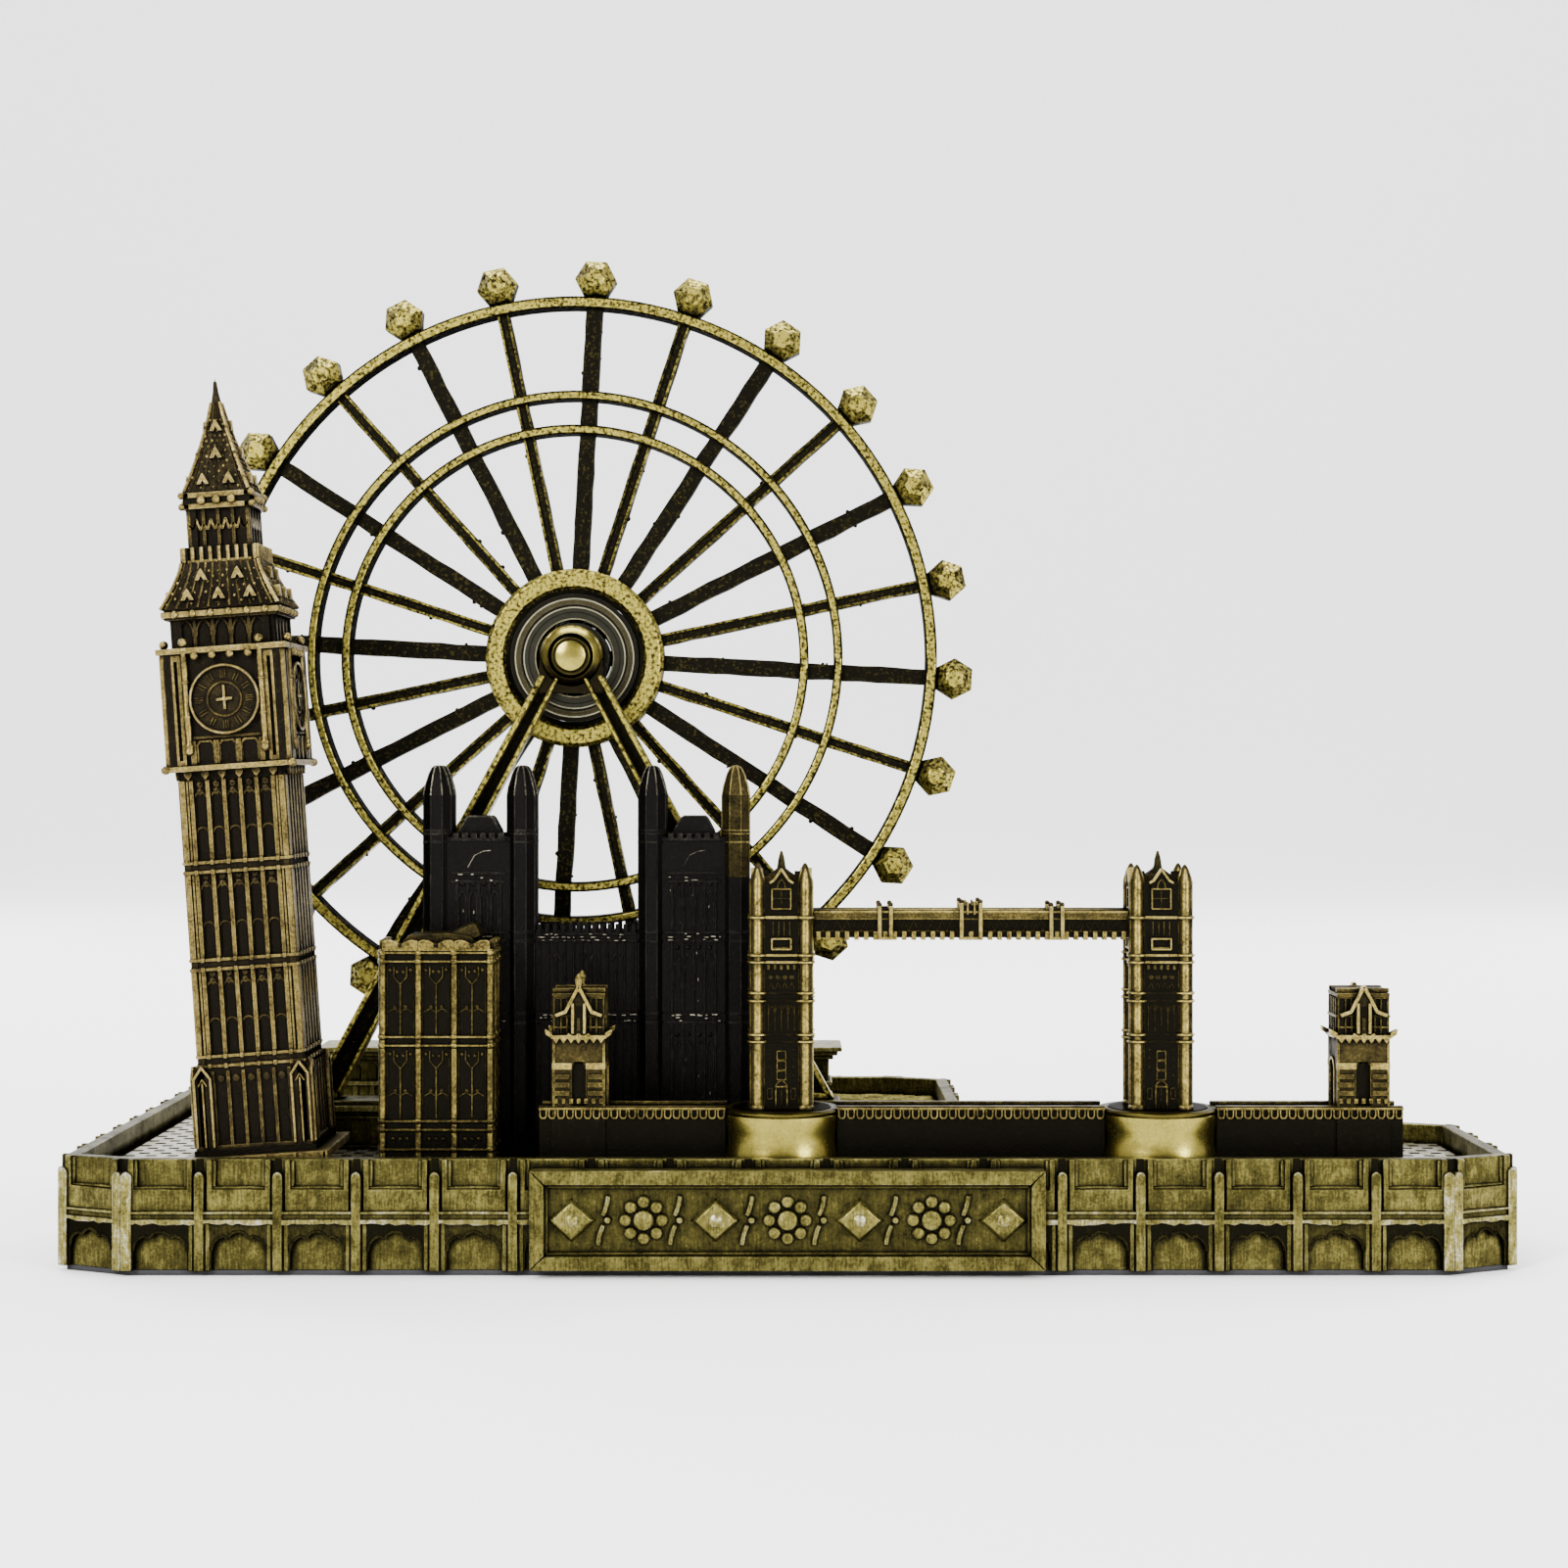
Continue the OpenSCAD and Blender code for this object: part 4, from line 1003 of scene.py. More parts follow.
def make_dials(material):
    """Four dials: a bright rim, a ring of hour marks, an inner ring and two hands."""
    cast = Casting()
    radius, field = 4.05, 3.75
    rim = [(radius, 0.45), (radius, -0.25), (3.9, -0.38), (field, -0.25), (3.67, 0.45)]
    for turn in QUARTERS:
        cast.place = clock_place(turn) @ Matrix.Translation((0, -7.2, 54.8))
        cast.ring(rim, [0.8, 0.9, 0.9, 0.6, 0.2], 48)
        cast.rod((0, 0.45, 0), (0, 0.12, 0), field, 0.27, 48)
        cast.ring([(2.1, 0.2), (2.05, -0.08), (1.85, -0.08), (1.8, 0.2)], [0.4, 0.45, 0.4, 0.2], 36)
        for hour in range(12):
            c, s = polar(1, 90 - 30 * hour)
            for offset in (-0.17, 0.17) if hour % 3 else (-0.26, 0, 0.26):
                mark = [(r * c - offset * s, r * s + offset * c) for r in (2.45, 3.35)]
                cast.strip(mark, 0.15, -0.05, 0.2, 0.42)
        cast.strip([(0, -1.1), (0, 1.55)], 0.3, -0.16, 0.15, 0.8)
        cast.strip([(-0.85, -0.05), (0.85, 0.05)], 0.3, -0.2, 0.15, 0.8)
        cast.stud(0, 0, 0, 0.35, 0.3, 0.9)
    cast.made(["clock_dials"], material, 0.03)


# ---- abbey

ABBEY_STRINGS = (27.6, 37.3, 44.4)
TURRET = 1.75
OCTAGON = 22.5  # turns an eight-sided solid so that its flats face the four sides


def flecks(cast, half, y, out, z, count):
    """Short worn flecks along a string course on a wall at y; out is -1 on a front and 1 on a back."""
    for _ in range(count):
        x, length = CHANCE.uniform(-half, half), CHANCE.uniform(0.15, 0.7)
        height = z + CHANCE.choice((-0.35, 0, 0.35)) + CHANCE.uniform(-0.06, 0.06)
        cast.slab(x, min(x + length, half), y, y + out * 0.3, height - 0.06, height + 0.06, 0.8)


def turret_shaft(cast, x, y, z0, z1, tone):
    """A length of eight-sided turret with a rib on every edge."""
    cast.post(x, y, TURRET, z0, z1, tone, 8, OCTAGON)
    for px, py in arc(x, y, TURRET, OCTAGON, OCTAGON + 315, 7):
        cast.rod((px, py, z0), (px, py, z1), 0.1, tone + 0.1, 5)


def turret_head(cast, x, y, z0, z1, tone):
    """The bullet-shaped point of a turret, with worn ribs and collars below it."""
    shape = ((1.0, 0), (0.9, 0.28), (0.64, 0.7), (0.42, 0.92), (0.25, 0.98), (0.04, 1))
    point = [(TURRET * across, z0 + (z1 - z0) * up) for across, up in shape]
    cast.turned(x, y, point, tone, 8, OCTAGON)
    for z in (z0 - 5.6, z0 - 4.6, z0 - 4.2):
        cast.post(x, y, TURRET + 0.12, z - 0.12, z + 0.12, tone + 0.15, 8, OCTAGON)
    for c, s in arc(0, 0, 1, OCTAGON, OCTAGON + 315, 7):
        for (ra, za), (rb, zb) in zip(point, point[1:]):
            cast.rod((x + ra * c, y + ra * s, za), (x + rb * c, y + rb * s, zb), 0.1, tone + 0.4, 5)


def abbey_tower(cast, worn, node):
    """One abbey tower; the right one's outermost front turret is worn down to the bronze near its top."""
    low, high = node_box(node)
    half, deep, middle = (high.x - low.x) / 2, (high.y - low.y) / 2, node_middle(node)
    wall_head, shoulder, split = 49.2, 54.2, ABBEY_STRINGS[2]
    place = Matrix.Translation((middle.x, middle.y, 0))
    cast.place = worn.place = place
    wall, span = deep - 0.7, half - 2 * TURRET
    cast.slab(0.8 - half, half - 0.8, -wall, wall, DECK_TOP, wall_head, 0.05)
    for side in SIDES:
        for y in (TURRET - deep, deep - TURRET):
            rubbed, x = side > 0 > y and middle.x > AXLE.x, side * (half - TURRET)
            upper = worn if rubbed else cast
            turret_shaft(cast, x, y, DECK_TOP, split, 0.1)
            turret_shaft(upper, x, y, split, shoulder, 0.3 if rubbed else 0.1)
            turret_head(upper, x, y, shoulder, high.z, 0.42 if rubbed else 0.1)
            for z in ABBEY_STRINGS[:2]:
                for course in (z - 0.55, z + 0.55):
                    cast.post(x, y, TURRET + 0.1, course - 0.17, course + 0.17, 0.22, 8, OCTAGON)
    for y, out, near, far in ((-wall, -1, -wall - 0.25, 0.2 - wall), (wall, 1, wall - 0.2, wall + 0.25)):
        for z in ABBEY_STRINGS:
            cast.bars(-span, span, near, far, (z - 0.5, z + 0.5), 0.14, 0.2)
            flecks(cast, span, y + out * 0.2, out, z, 14 if z < 40 else 5)
        for _ in range(24):
            x, z = CHANCE.uniform(-span, span), CHANCE.uniform(DECK_TOP, 43)
            cast.slab(x, x + 0.12, near + 0.1, far, z, z + CHANCE.uniform(0.1, 0.4), 0.8)
        cast.strip([(-1.3, 45.6), (-0.5, 47.0), (0.5, 47.5), (1.4, 47.6)], 0.07, near + 0.15, far, 0.8)
        cast.row(spaced(5, 1.3), 0.28, near + 0.05, far, DECK_TOP, split, 0.16)
        for z in (20.6, 31.0, 38.6):
            for x in spaced(4, 1.3):
                cast.strip(shifted(pointed(0.42, z, z + 3.2, z + 4.2, 4), x), 0.13, near, far, 0.2)
                cast.stud(x, y + out * 0.02, z + 5.0, 0.3, 0.2, 0.2, 8)
        cast.row(cells(-span, span, 6), 0.64, near, far + 0.3, wall_head - 0.2, wall_head + 0.45, 0.26)
        cast.slab(-span, span, near, far + 0.1, wall_head - 0.45, wall_head - 0.15, 0.24)
    for z in ABBEY_STRINGS:
        for course in (z - 0.5, z + 0.5):
            cast.pair(half - 0.8, half - 0.5, -wall, wall, course - 0.14, course + 0.14, 0.2)
    slope = ((-2.5, 0), (-2.4, 0.7), (-1.6, 2.2), (-1.3, 2.45))
    roof = mirrored([(x, wall_head + up) for x, up in slope])
    cast.cut(roof, -1.9, 1.9, 0.14)
    cast.strip(roof, 0.16, -2.0, -1.8, 0.3)
    cast.strip(roof, 0.16, 1.8, 2.0, 0.3)
    for side in SIDES:
        for y in (-1, 1):
            cast.place = place @ turned_place(side * (half - 0.8), y, 90 * side)
            for z in (20.6, 31.0, 38.6):
                cast.strip(pointed(0.6, z, z + 3.4, z + 4.6, 4), 0.15, -0.25, 0.1, 0.2)


def make_abbey(material, bronze):
    worn = Casting()
    for node in ("abbey_tower_left", "abbey_tower_right"):
        cast = Casting()
        abbey_tower(cast, worn, node)
        cast.made([node], material, 0.05)
    worn.made([], bronze, 0.05, "abbey_worn_turret")

    low, high = node_box("abbey_nave")
    cast = Casting(Matrix.Translation((node_middle("abbey_nave").x, 0, 0)))
    half, top, front, rear = (high.x - low.x) / 2, high.z - 0.8, low.y + 0.3, high.y - 0.3
    cast.slab(-half, half, front, rear, DECK_TOP, top, 0.05)
    for y, out, near, far in ((front, -1, front - 0.28, front + 0.3), (rear, 1, rear - 0.3, rear + 0.28)):
        cast.bars(-half, half, near, far, (27.1, 28.1, 36.8, 37.6), 0.14, 0.2)
        for z in (27.6, 37.2):
            flecks(cast, half, y + out * 0.22, out, z, 30)
        cast.row(cells(-half, half, 13), 0.52, near, far, top - 0.3, high.z, 0.12)
        cast.row(cells(-half, half, 12), 0.2, near + 0.05, far, DECK_TOP, 36.5, 0.15)
        for x in (-4.1, -3.1, -0.5, 0.5, 3.1, 4.1):
            cast.strip([(x - 0.35, 35.2), (x, 34.5), (x + 0.35, 35.2)], 0.13, near, far, 0.26)
        cast.strip(pointed(2.4, DECK_TOP, 19.5, 24.0, 6), 0.25, near, far, 0.2)
    cast.made(["abbey_nave"], material, 0.05)


def chapel_wall(cast, width, bays, head):
    """One wall of the chapel about x = 0, with its face at y = 0."""
    half, pitch = width / 2, width / bays
    posts = spaced(bays + 1, pitch)
    cast.slab(-half, half, 0.55, 1.1, DECK_TOP, head - 0.3, 0.07)
    for x in posts:
        cast.post(x, 0.5, 0.44, DECK_TOP, head - 0.3, 0.6, 12)
    for z in (35.9, 34.9, 26.1, 25.1, 16.3, 15.3, 13.0):
        tone = 0.6 if z > 24 else 0.45
        cast.slab(-half - 0.45, half + 0.45, 0.06, 1.0, z - 0.12, z + 0.12, tone)
        cast.beads(posts, 0.35, z, 0.5, tone, 8)
    for x in spaced(bays, pitch):
        for z0, z1 in ((16.6, 24.8), (26.4, 34.6)):
            cast.strip([(x, z0), (x, z1 - 2.2)], 0.17, 0.3, 0.6, 0.42)
            for side in SIDES:
                branch = x + side * 0.75
                cast.strip([(x, z1 - 2.4), (branch, z1 - 1.5), (branch, z1 - 0.3)], 0.15, 0.3, 0.6, 0.4)
                cast.strip([(x + side * 1.55, z0), (x + side * 1.55, z1)], 0.14, 0.35, 0.6, 0.25)
                cast.stud(x + side * 1.2, 0.55, z1 - 0.7, 0.26, 0.25, 0.38, 8)
                cast.stud(x + side * 0.35, 0.55, z1 - 0.9, 0.24, 0.25, 0.38, 8)
                cast.stud(x + side * 0.6, 0.55, z0 + 3.2, 0.3, 0.22, 0.35, 8)
            wave = [(x + dx, z0 + (3.0 if abs(dx) == 0.7 else 2.6)) for dx in (-1.4, -0.7, 0, 0.7, 1.4)]
            cast.strip(wave, 0.14, 0.32, 0.6, 0.38)
        for px in (x - 0.8, x, x + 0.8):
            cast.stud(px, 0.55, 14.2, 0.3, 0.25, 0.3, 8)
            cast.stud(px, 0.55, 12.0, 0.3, 0.25, 0.25, 8)
        crest = [(x - pitch / 2, head - 0.5), (x + pitch / 2, head - 0.5)]
        for k in range(16, -1, -1):
            bump = abs(math.sin(math.pi * (1.5 * k / 16 + 0.25)))
            crest.append((x + pitch * (k / 16 - 0.5), head + 0.25 + 0.55 * bump))
        cast.cut(crest, 0.05, 0.7, 0.6)
        cast.stud(x, 0.08, head + 0.2, 0.3, 0.16, 0.25, 8)


def make_chapel(material):
    """The block in front of the left abbey tower: bright round pilasters between dark traceried bays."""
    low, high = node_box("abbey_chapel")
    middle, head = node_middle("abbey_chapel"), 36.6
    cast = Casting()
    cast.slab(low.x + 0.9, high.x - 0.9, low.y + 0.9, high.y, DECK_TOP, head, 0.06)
    heap = [(-4.6, head - 0.1), (4.8, head - 0.1), (4.0, head + 1.1), (1.2, head + 1.5), (-3.4, head + 1.3)]
    cast.cut(shifted(heap, middle.x), low.y + 1.6, high.y - 0.6, 0.3)
    cast.place = turned_place(middle.x, low.y, 0)
    chapel_wall(cast, high.x - low.x - 1.1, 3, head)
    for x, degrees in ((low.x, -90), (high.x, 90)):
        cast.place = turned_place(x, middle.y + 0.3, degrees)
        chapel_wall(cast, high.y - low.y - 1.7, 2, head)
    tilt = Matrix.Rotation(math.radians(-24), 4, "Y")
    cast.place = Matrix.Translation((middle.x + 3.4, middle.y, head + 1.2)) @ tilt
    cast.slab(-2.1, 1.5, -2.1, 2.1, -0.6, 1.0, 0.34)
    cast.slab(-1.9, 1.3, -1.9, 1.9, 0.9, 1.2, 0.2)
    cast.made(["abbey_chapel"], material, 0.05)


# ---- bridge

ROAD_LOW, ROAD_HIGH = node_box("bridge_road_middle")
BRIDGE_Y = (ROAD_LOW.y + ROAD_HIGH.y) / 2
ROAD_TOP, PARAPET_TOP = 17, ROAD_HIGH.z
PIER_TOP = node_box("bridge_pier_left")[1].z
TOWER_HEAD, TURRET_TOP, TURRET_R = 44.3, 46.3, 0.86
GATE_CORNICE = 26.2


def make_road(material, node, x0, x1):
    """One stretch of road between two parapets, each with a run of little hanging arches outside."""
    cast = Casting()
    front, rear, top = ROAD_LOW.y + 0.32, ROAD_HIGH.y - 0.32, PARAPET_TOP
    cast.slab(x0, x1, front, rear, DECK_TOP, ROAD_TOP, 0.07)
    hanging = mirrored([(-0.36, top - 0.25), (-0.36, top - 1.1), (-0.2, top - 1.37)])
    for y, out in ((front, -1), (rear, 1)):
        cast.slab(x0, x1, y, y - out * 0.7, ROAD_TOP - 0.1, top - 0.15, 0.1)
        cast.slab(x0, x1, y + out * 0.12, y - out * 0.82, top - 0.25, top, 0.45)
        cast.slab(x0, x1, y, y + out * 0.32, top - 0.41, top - 0.15, 0.6)
        for x in cells(x0, x1, max(1, round((x1 - x0) / 1.05))):
            cast.strip(shifted(hanging, x), 0.17, y, y + out * 0.32, 0.6)
    cast.slab(x0, x1, front - 0.1, rear + 0.1, DECK_TOP, DECK_TOP + 0.35, 0.16)
    dashes = [x0 + 1.2 + i * 2.4 for i in range(int((x1 - x0) / 2.4))]
    cast.row(dashes, 1.2, BRIDGE_Y - 0.12, BRIDGE_Y + 0.12, ROAD_TOP - 0.02, ROAD_TOP + 0.12, 0.4)
    cast.made([node], material, 0.04)


def make_pier(material, node):
    """A round river pier with a slight waist and a thin rim round its top."""
    low, high = node_box(node)
    radius, top = (high.x - low.x) / 2, high.z
    drum = ((-0.1, DECK_TOP), (0, DECK_TOP + 0.5), (0, 12.8), (-0.12, 13.6), (-0.25, 14.4), (-0.18, 15.6),
            (0, 16.7), (-0.02, top - 0.55))
    rim = ((-0.15, top - 0.6), (0, top - 0.35), (0, top - 0.12), (-0.2, top))
    cap = ((-1.1, top - 0.1), (-1.25, top + 0.1))
    cast = Casting()
    for profile, tone, sides in ((drum, 0.66, 72), (rim, 0.34, 72), (cap, 0.15, 48)):
        cast.turned(node_middle(node).x, BRIDGE_Y, [(radius + out, z) for out, z in profile], tone, sides)
    cast.made([node], material, 0.05)


def tower_wall(cast, half):
    """One wall of a bridge tower about x = 0, with its face at y = 0."""
    faint = 0.3

    def border(x0, x1, z0, z1, tone, width=0.13, proud=0.2):
        cast.strip([(x0, z0), (x0, z1), (x1, z1), (x1, z0), (x0, z0)], width, -proud, 0.1, tone)

    cast.slab(-half, half, 0, 0.5, PIER_TOP, TOWER_HEAD, 0.08)
    border(-0.65, 0.65, PIER_TOP, 20.7, 0.5, 0.16)
    cast.strip([(0, PIER_TOP), (0, 20.5)], 0.1, -0.1, 0.1, faint)
    cast.strip(pointed(0.66, 20.3, 20.6, 21.4, 4), 0.14, -0.2, 0.1, 0.45)
    for side in SIDES:
        border(side * 1.35 - 0.25, side * 1.35 + 0.25, 19.3, 20.5, faint)
        for z in (22.0, 23.0, 24.0, 25.0):
            cast.stud(side * 1.4, 0.05, z, 0.16, 0.2, faint, 6)
    for z in (21.5, 22.65, 23.8):
        border(-0.5, 0.5, z, z + 1.0, 0.45)
    cast.bars(-half, half, -0.12, 0.1, (25.9, 26.7, 30.6, 31.5), 0.13, 0.16)
    for x in spaced(5, 0.75):
        cast.strip([(x, 27.1), (x, 30.1)], 0.11, -0.13, 0.1, faint)
    for x in spaced(4, 0.75, 0.005):
        cast.strip(shifted(pointed(0.3, 29.2, 29.4, 30.0, 3), x), 0.1, -0.13, 0.1, faint)
    for x in spaced(4, 0.8):
        cast.spindle((x, 0.1, 33.3), (x, -0.14, 33.3), [(0.3, 0), (0.3, 0.7), (0.16, 1)], faint, 8)
        cast.strip([(x - 0.3, 32.0), (x, 32.7), (x + 0.3, 32.0)], 0.1, -0.12, 0.1, faint)
    cast.row(spaced(5, 0.75), 0.3, -0.22, 0.1, 34.2, 34.75, 0.45)
    cast.bars(-half, half, -0.3, 0.1, (35.05, 35.85), 0.15, 0.8)
    border(-1.1, 1.1, 36.55, 37.75, 0.85, 0.2, 0.45)
    cast.slab(-1.1, 1.1, -0.3, 0.1, 36.55, 36.8, 0.7)
    for x in (-0.95, -0.3, 0.3, 0.95):
        cast.strip([(x, 38.1), (x, 39.7)], 0.11, -0.15, 0.1, 0.4)
    cast.slab(-half, half, -0.3, 0.1, 40.05, 40.38, 0.85)
    cast.slab(-1.15, 1.15, -0.16, 0.1, 41.0, 44.6, 0.1)
    border(-1.08, 1.08, 41.2, 43.5, 0.6, 0.18, 0.35)
    for line in ([(0, 41.3), (0, 43.5)], [(-1.0, 42.4), (1.0, 42.4)]):
        cast.strip(line, 0.1, -0.26, 0.1, 0.35)
    cast.cut([(-1.2, 43.5), (1.2, 43.5), (1.2, 44.2), (0, 45.5), (-1.2, 44.2)], -0.25, 1.6, 0.12)
    cast.strip([(-1.35, 44.2), (-0.9, 44.45), (0, 45.75), (0.9, 44.45), (1.35, 44.2)], 0.26, -0.45, 0.3, 0.85)
    cast.strip(pointed(0.45, 43.6, 43.7, 44.6, 3), 0.12, -0.36, 0.1, 0.5)


def make_bridge_tower(material, node):
    """A square tower with a low roof between four ribbed corner turrets."""
    low, high = node_box(node)
    x, reach = node_middle(node).x, (high.x - low.x) / 2 - TURRET_R - 0.1
    cast = Casting(turned_place(x, BRIDGE_Y, 0))
    cast.frustum(PIER_TOP, TOWER_HEAD, 2 * reach + 0.6, 2 * reach + 0.6, 0.08)
    cast.frustum(TOWER_HEAD, TURRET_TOP - 0.5, 2 * reach, 1.0, 0.2, 3, 1.2)
    finial = [(0.75, TURRET_TOP - 2.0), (0.5, TURRET_TOP - 0.4), (0.36, TURRET_TOP + 0.6), (0.12, high.z)]
    cast.turned(0, 0, finial, 0.25, 10)
    turret = [(TURRET_R, PIER_TOP), (TURRET_R, TOWER_HEAD), (TURRET_R * 0.8, TOWER_HEAD + 0.6),
              (TURRET_R * 0.35, TURRET_TOP - 0.25), (0.08, TURRET_TOP)]
    rib = [(0.52, PIER_TOP), (0.52, TOWER_HEAD), (0.32, TOWER_HEAD + 0.7), (0.05, TURRET_TOP - 0.5)]
    plinth = [(TURRET_R + 0.15, PIER_TOP), (TURRET_R + 0.15, PIER_TOP + 0.35), (TURRET_R, PIER_TOP + 0.6)]
    collar = ((TURRET_R, -0.24), (TURRET_R + 0.3, -0.1), (TURRET_R + 0.3, 0.1), (TURRET_R, 0.24))
    for tx, ty in ((-reach, -reach), (-reach, reach), (reach, -reach), (reach, reach)):
        cast.turned(tx, ty, turret, 0.36, 20)
        cast.turned(tx, ty, plinth, 0.7, 20)
        for dx, dy in ((-0.42, 0), (0.42, 0), (0, -0.42), (0, 0.42)):
            cast.turned(tx + dx, ty + dy, rib, 0.74, 14)
        for z in (25.9, 26.7, 30.6, 31.5, 35.05, 35.85, 40.2):
            cast.turned(tx, ty, [(r, z + up) for r, up in collar], 0.85, 20)
    for turn in QUARTERS:
        cast.place = turned_place(x, BRIDGE_Y, turn, reach + 0.35)
        tower_wall(cast, reach)
    cast.made([node], material, 0.04)


def make_walkway(material, node):
    """A high walkway: beam over a dark lattice over a row of short balusters, with three framed posts."""
    low, high = node_box(node)
    half, count = (high.x - low.x) / 2, 33
    beam_low, lattice_low, top = 39.95, 38.6, 41.0
    cast = Casting(Matrix.Translation((node_middle(node).x, 0, 0)))

    def through(x0, x1, inset, z0, z1, tone):
        cast.slab(x0, x1, low.y + inset, high.y - inset, z0, z1, tone)

    through(-half, half, 0.42, low.z + 0.25, top - 0.05, 0.07)
    through(-half, half, 0.12, beam_low, top, 0.5)
    through(-half, half, 0.05, top - 0.3, top - 0.05, 0.75)
    through(-half, half, 0.05, beam_low, beam_low + 0.15, 0.6)
    through(-half, half, 0.25, top - 0.05, top + 0.06, 0.12)
    places, foot = cells(-half, half, count), lattice_low + 0.05
    cast.row(places, 0.52, low.y + 0.05, high.y - 0.05, low.z, lattice_low, 0.7)
    for y0, y1 in ((low.y + 0.24, low.y + 0.52), (high.y - 0.52, high.y - 0.24)):
        for x in places:
            lattice = [(x - half / count, foot), (x, beam_low - 0.1), (x + half / count, foot)]
            cast.strip(lattice, 0.13, y0, y1, 0.22)
        cast.slab(-half, half, y0, y1, lattice_low - 0.1, lattice_low + 0.1, 0.3)
    for x, reach, head in ((0, 1.3, high.z - 0.1), (-9.9, 0.85, high.z - 0.45), (9.9, 0.85, high.z - 0.45)):
        through(x - reach, x + reach, 0.1, low.z + 0.1, head - 0.5, 0.12)
        through(x - reach, x + reach, -0.02, low.z, low.z + 0.35, 0.75)
        for edge in (x - reach + 0.2, x + reach - 0.2):
            through(edge - 0.22, edge + 0.22, -0.08, low.z, head - 0.25, 0.85)
            for y in (low.y + 0.35, high.y - 0.35):
                cast.ball(edge, y, head - 0.1, 0.28, 0.35, 8)
    for x in (-0.4, 0.4):
        through(x - 0.13, x + 0.13, 0, high.z - 1.7, high.z - 0.2, 0.7)
    cast.made([node], material, 0.05)


def gate_face(cast, half):
    """The front of a gatehouse about x = 0, with its face at y = 0."""
    rear, cornice, attic = 0.9, GATE_CORNICE, GATE_CORNICE + 0.4
    wall = mirrored([(-half, cornice), (-half, ROAD_TOP), (-0.8, ROAD_TOP), (-0.8, 22.6), (-0.5, 23.5)])
    cast.cut(wall, 0, rear, 0.42)
    cast.slab(-0.85, 0.85, 0.55, rear, ROAD_TOP, 23.3, 0.05)
    for z in (19.6, 20.55, 21.5):
        cast.pair(1.05, half - 0.1, -0.22, 0.2, z, z + 0.6, 0.45)
    cast.pair(0.8, half + 0.05, -0.15, 0.2, 22.6, 23.4, 0.85)
    cast.pair(half - 0.32, half, -0.12, 0.2, ROAD_TOP, cornice, 0.62)
    places = spaced(7, (half - 0.45) / 3)
    cast.row(places, 0.45, -0.28, 0.2, 18.7, 19.3, 0.55)
    for x in places:
        cast.cut([(x - 0.42, cornice + 0.1), (x, cornice - 0.55), (x + 0.42, cornice + 0.1)], -0.5, 0.2, 0.8)
    cast.slab(-half - 0.15, half + 0.15, -0.5, 0.2, cornice, cornice + 0.42, 0.85)
    scroll = ((0, 0), (0.75, 0.5), (0.85, 1.1), (0.3, 0.85), (0, 0.7))
    for side in SIDES:
        cast.cut([(side * (half + out), cornice + up) for out, up in scroll], -0.45, 0.6, 0.8)
    cast.slab(0.1 - half, half - 0.1, 0.3, rear, attic, 31.2, 0.02)
    cast.bars(0.05 - half, half - 0.05, -0.02, 0.4, (attic + 0.9, attic + 2.2, 30.9), 0.11, 0.46)
    for x in (half - 0.2, half - 1.0, 1.35):
        cast.pair(x - 0.1, x + 0.1, -0.05, 0.4, attic, 31.0, 0.4)
    cast.cut([(-0.95, attic), (0.95, attic), (0.95, 30.2), (0, 31.6), (-0.95, 30.2)], -0.35, 0.6, 0.28)
    cast.slab(-0.5, 0.5, -0.38, 0.2, attic + 0.5, 30.0, 0)
    cast.slab(-0.2, 0.2, -0.5, 0.2, attic + 0.6, attic + 2.0, 0.4)
    cast.pair(0.5, 0.85, -0.6, 0.2, attic + 0.2, 30.3, 0.85)
    cast.strip(mirrored([(-2.6, 28.9), (-1.5, 29.3), (-0.85, 30.6), (0, 32.2)]), 0.4, -0.6, 0.3, 0.88)
    cast.strip(mirrored([(-1.2, attic + 0.1), (-0.4, attic - 0.35), (0, attic + 0.1)]), 0.35, -0.55, 0.3, 0.8)


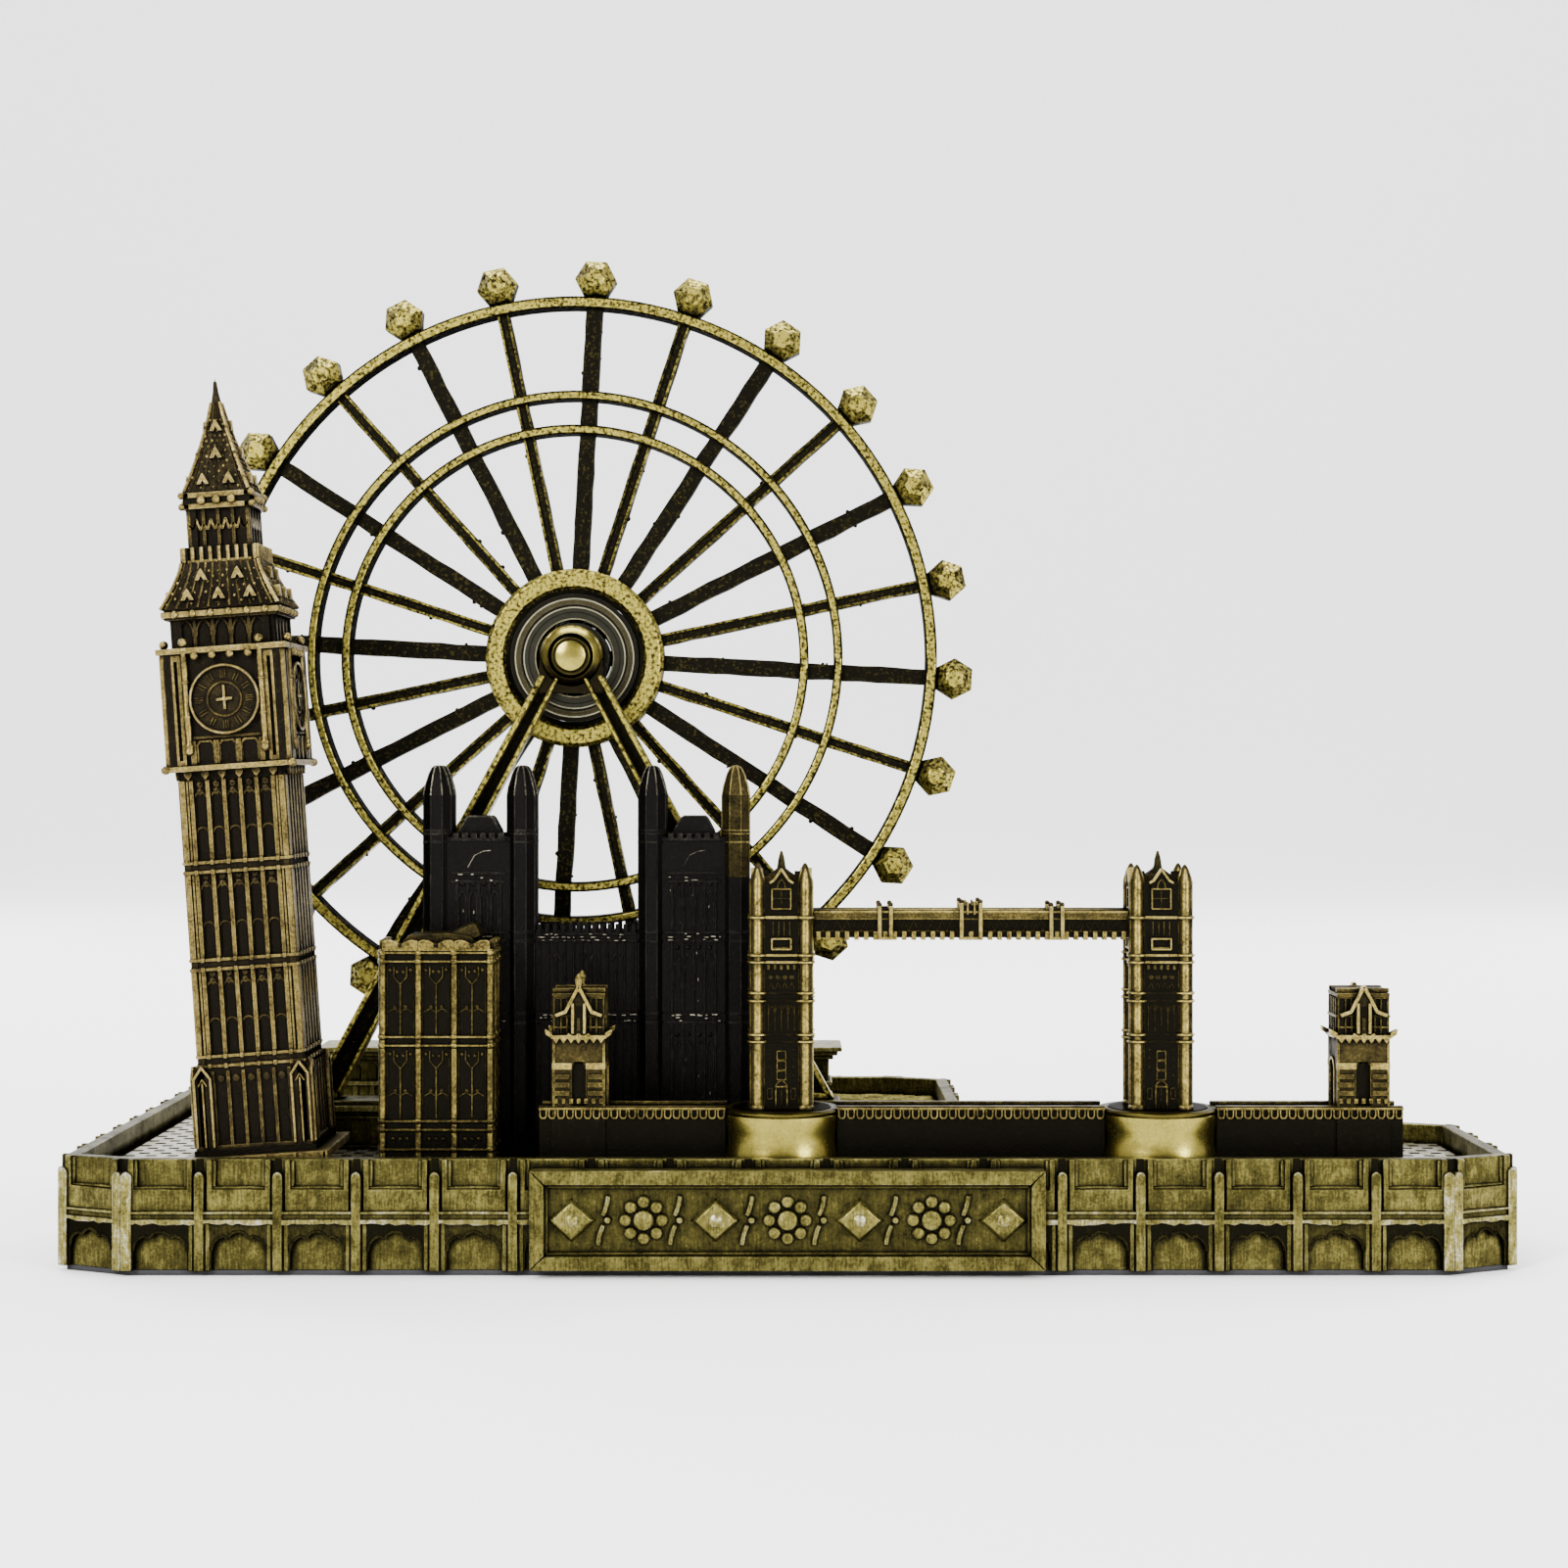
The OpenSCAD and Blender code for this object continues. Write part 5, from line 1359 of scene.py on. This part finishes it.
def make_gate(material, node, finials):
    """A gatehouse across the road, with an arch in each side wall."""
    x, half, deep, attic = node_middle(node).x, 3.05, 2.65, GATE_CORNICE + 0.4
    cast = Casting()
    for turn in (0, 180):
        cast.place = turned_place(x, BRIDGE_Y, turn, deep)
        gate_face(cast, half)
    span = deep - 0.1
    arch = [(-1.55, ROAD_TOP), *arc(0, 22.2, 1.55, 162, 18, 8), (1.55, ROAD_TOP)]
    head = GATE_CORNICE + 0.2
    wall = [(-span, ROAD_TOP), *arch, (span, ROAD_TOP), (span, head), (-span, head)]
    for turn in (-90, 90):
        cast.place = turned_place(x, BRIDGE_Y, turn, half - 0.55)
        cast.cut(wall, -0.5, 0.3, 0.3)
        cast.strip(arch, 0.3, -0.7, -0.4, 0.6)
        cast.slab(-span, span, -0.85, 0.3, GATE_CORNICE, GATE_CORNICE + 0.42, 0.75)
        cast.slab(-span, span, -0.45, 0.3, attic, 31.0, 0.15)
        cast.row(spaced(5, 1.025), 0.24, -0.62, 0, attic, 30.9, 0.45)
        cast.slab(-span, span, -0.66, 0, 28.6, 28.9, 0.5)
    cast.place = turned_place(x, BRIDGE_Y, 0)
    courses = ((half - 0.3, deep - 0.8, 24.2, attic, 0.2), (half - 0.3, deep - 0.5, GATE_CORNICE, 31.0, 0.12),
               (half, deep + 0.1, 31.0, 31.45, 0.45), (half - 0.2, deep - 0.5, 31.4, 31.9, 0.3))
    for wide, long, z0, z1, tone in courses:
        cast.slab(-wide, wide, -long, long, z0, z1, tone)
    road = (ROAD_HIGH.y - ROAD_LOW.y) / 2
    for side in SIDES:
        cast.slab(-half, half, side * (deep - 0.75), side * (deep - 0.35), 31.5, 32.0, 0.6)
        cast.slab(-half - 0.05, half + 0.05, side * (road - 1.2), side * road, DECK_TOP, ROAD_TOP, 0.12)
        if finials:
            vase = [(0.45, 31.6), (0.3, 32.3), (0.5, 33.0), (0.35, 33.4), (0.05, 33.7)]
            cast.turned(0, side * (deep + 0.2), vase, 0.75, 10)
    cast.made([node], material, 0.05)


def make_bridge(bronze, drum):
    towers = ("bridge_tower_left", "bridge_tower_right")
    for node in towers:
        make_bridge_tower(bronze, node)
    for node in ("bridge_pier_left", "bridge_pier_right"):
        make_pier(drum, node)
    left, right = (node_middle(node).x for node in towers)
    clear = 6.45
    make_road(bronze, "bridge_road_left", node_box("bridge_road_left")[0].x, left - clear)
    make_road(bronze, "bridge_road_middle", left + clear, right - clear)
    make_road(bronze, "bridge_road_right", right + clear, node_box("bridge_road_right")[1].x)
    make_walkway(bronze, "bridge_walkway_front")
    make_walkway(bronze, "bridge_walkway_rear")
    make_gate(bronze, "bridge_gate_left", True)
    make_gate(bronze, "bridge_gate_right", False)


# ---- the whole object

def paint_nodes(material, *names):
    """Gives a material to CAD nodes that are shown as they are."""
    for name in names:
        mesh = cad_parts[name].data
        mesh.materials.clear()
        mesh.materials.append(material)


make_camera()
make_lights()
make_floor()

OLIVE = antique("tray_bronze", (0.005, 0.0045, 0.0025), (0.043, 0.037, 0.009), (0.185, 0.159, 0.042),
                (0.44, 0.425, 0.36), streak=0.22, blotch=0.35, speckle=0.15)
TOWER = antique("tower_bronze", (0.006, 0.005, 0.0035), (0.035, 0.026, 0.01), (0.2, 0.148, 0.042),
                (0.34, 0.28, 0.13))
BLACK = antique("abbey_black", (0.0055, 0.0052, 0.0047), (0.024, 0.022, 0.018), (0.28, 0.25, 0.17))
BRIDGE = antique("bridge_bronze", (0.005, 0.0045, 0.003), (0.042, 0.032, 0.01), (0.28, 0.215, 0.055),
                 (0.38, 0.31, 0.12))
DRUM = antique("drum_bronze", (0.01, 0.008, 0.004), (0.12, 0.097, 0.018), (0.42, 0.35, 0.07),
               rough=(0.34, 0.2), blotch=0.1, speckle=0.06, grain=0.005)
GOLD = antique("wheel_gold", (0.005, 0.0045, 0.003), (0.075, 0.061, 0.013), (0.26, 0.216, 0.036),
               (0.36, 0.3, 0.06), blotch=0.2, speckle=0.7, speckle_scale=2300, grain=0.05)
FACES = antique("bearing_face", (0.008, 0.007, 0.005), (0.05, 0.042, 0.02), (0.26, 0.235, 0.12), blotch=0.15,
                speckle=0.1)
STEEL = plain_metal("bearing_steel", (0.034, 0.033, 0.024), 0.3)
RACE = plain_metal("bearing_race", (0.2, 0.2, 0.18), 0.18, 0.1)
SCREW = plain_metal("screw_steel", (0.3, 0.29, 0.27), 0.35)
FELT = plain_metal("black_felt", (0.03, 0.03, 0.032), 0.95, 0.3, 0.0)

make_base(OLIVE)
make_felt(FELT)
make_plate(OLIVE)
make_clock_tower(TOWER)
make_dials(TOWER)
make_abbey(BLACK, BRIDGE)
make_chapel(BRIDGE)
make_bridge(BRIDGE, DRUM)
make_platform(OLIVE)
make_boarding_block(OLIVE)
make_frame(GOLD)
make_boss(DRUM)
make_pin(DRUM)
make_wheel(GOLD)
make_bearing(FACES)
paint_nodes(STEEL, "bearing_shields", "bearing_inner_ring", "bearing_outer_ring", "axle_spacer", "axle_cap")
paint_nodes(RACE, "bearing_balls", "bearing_cage")
paint_nodes(SCREW, "fixing_screws")
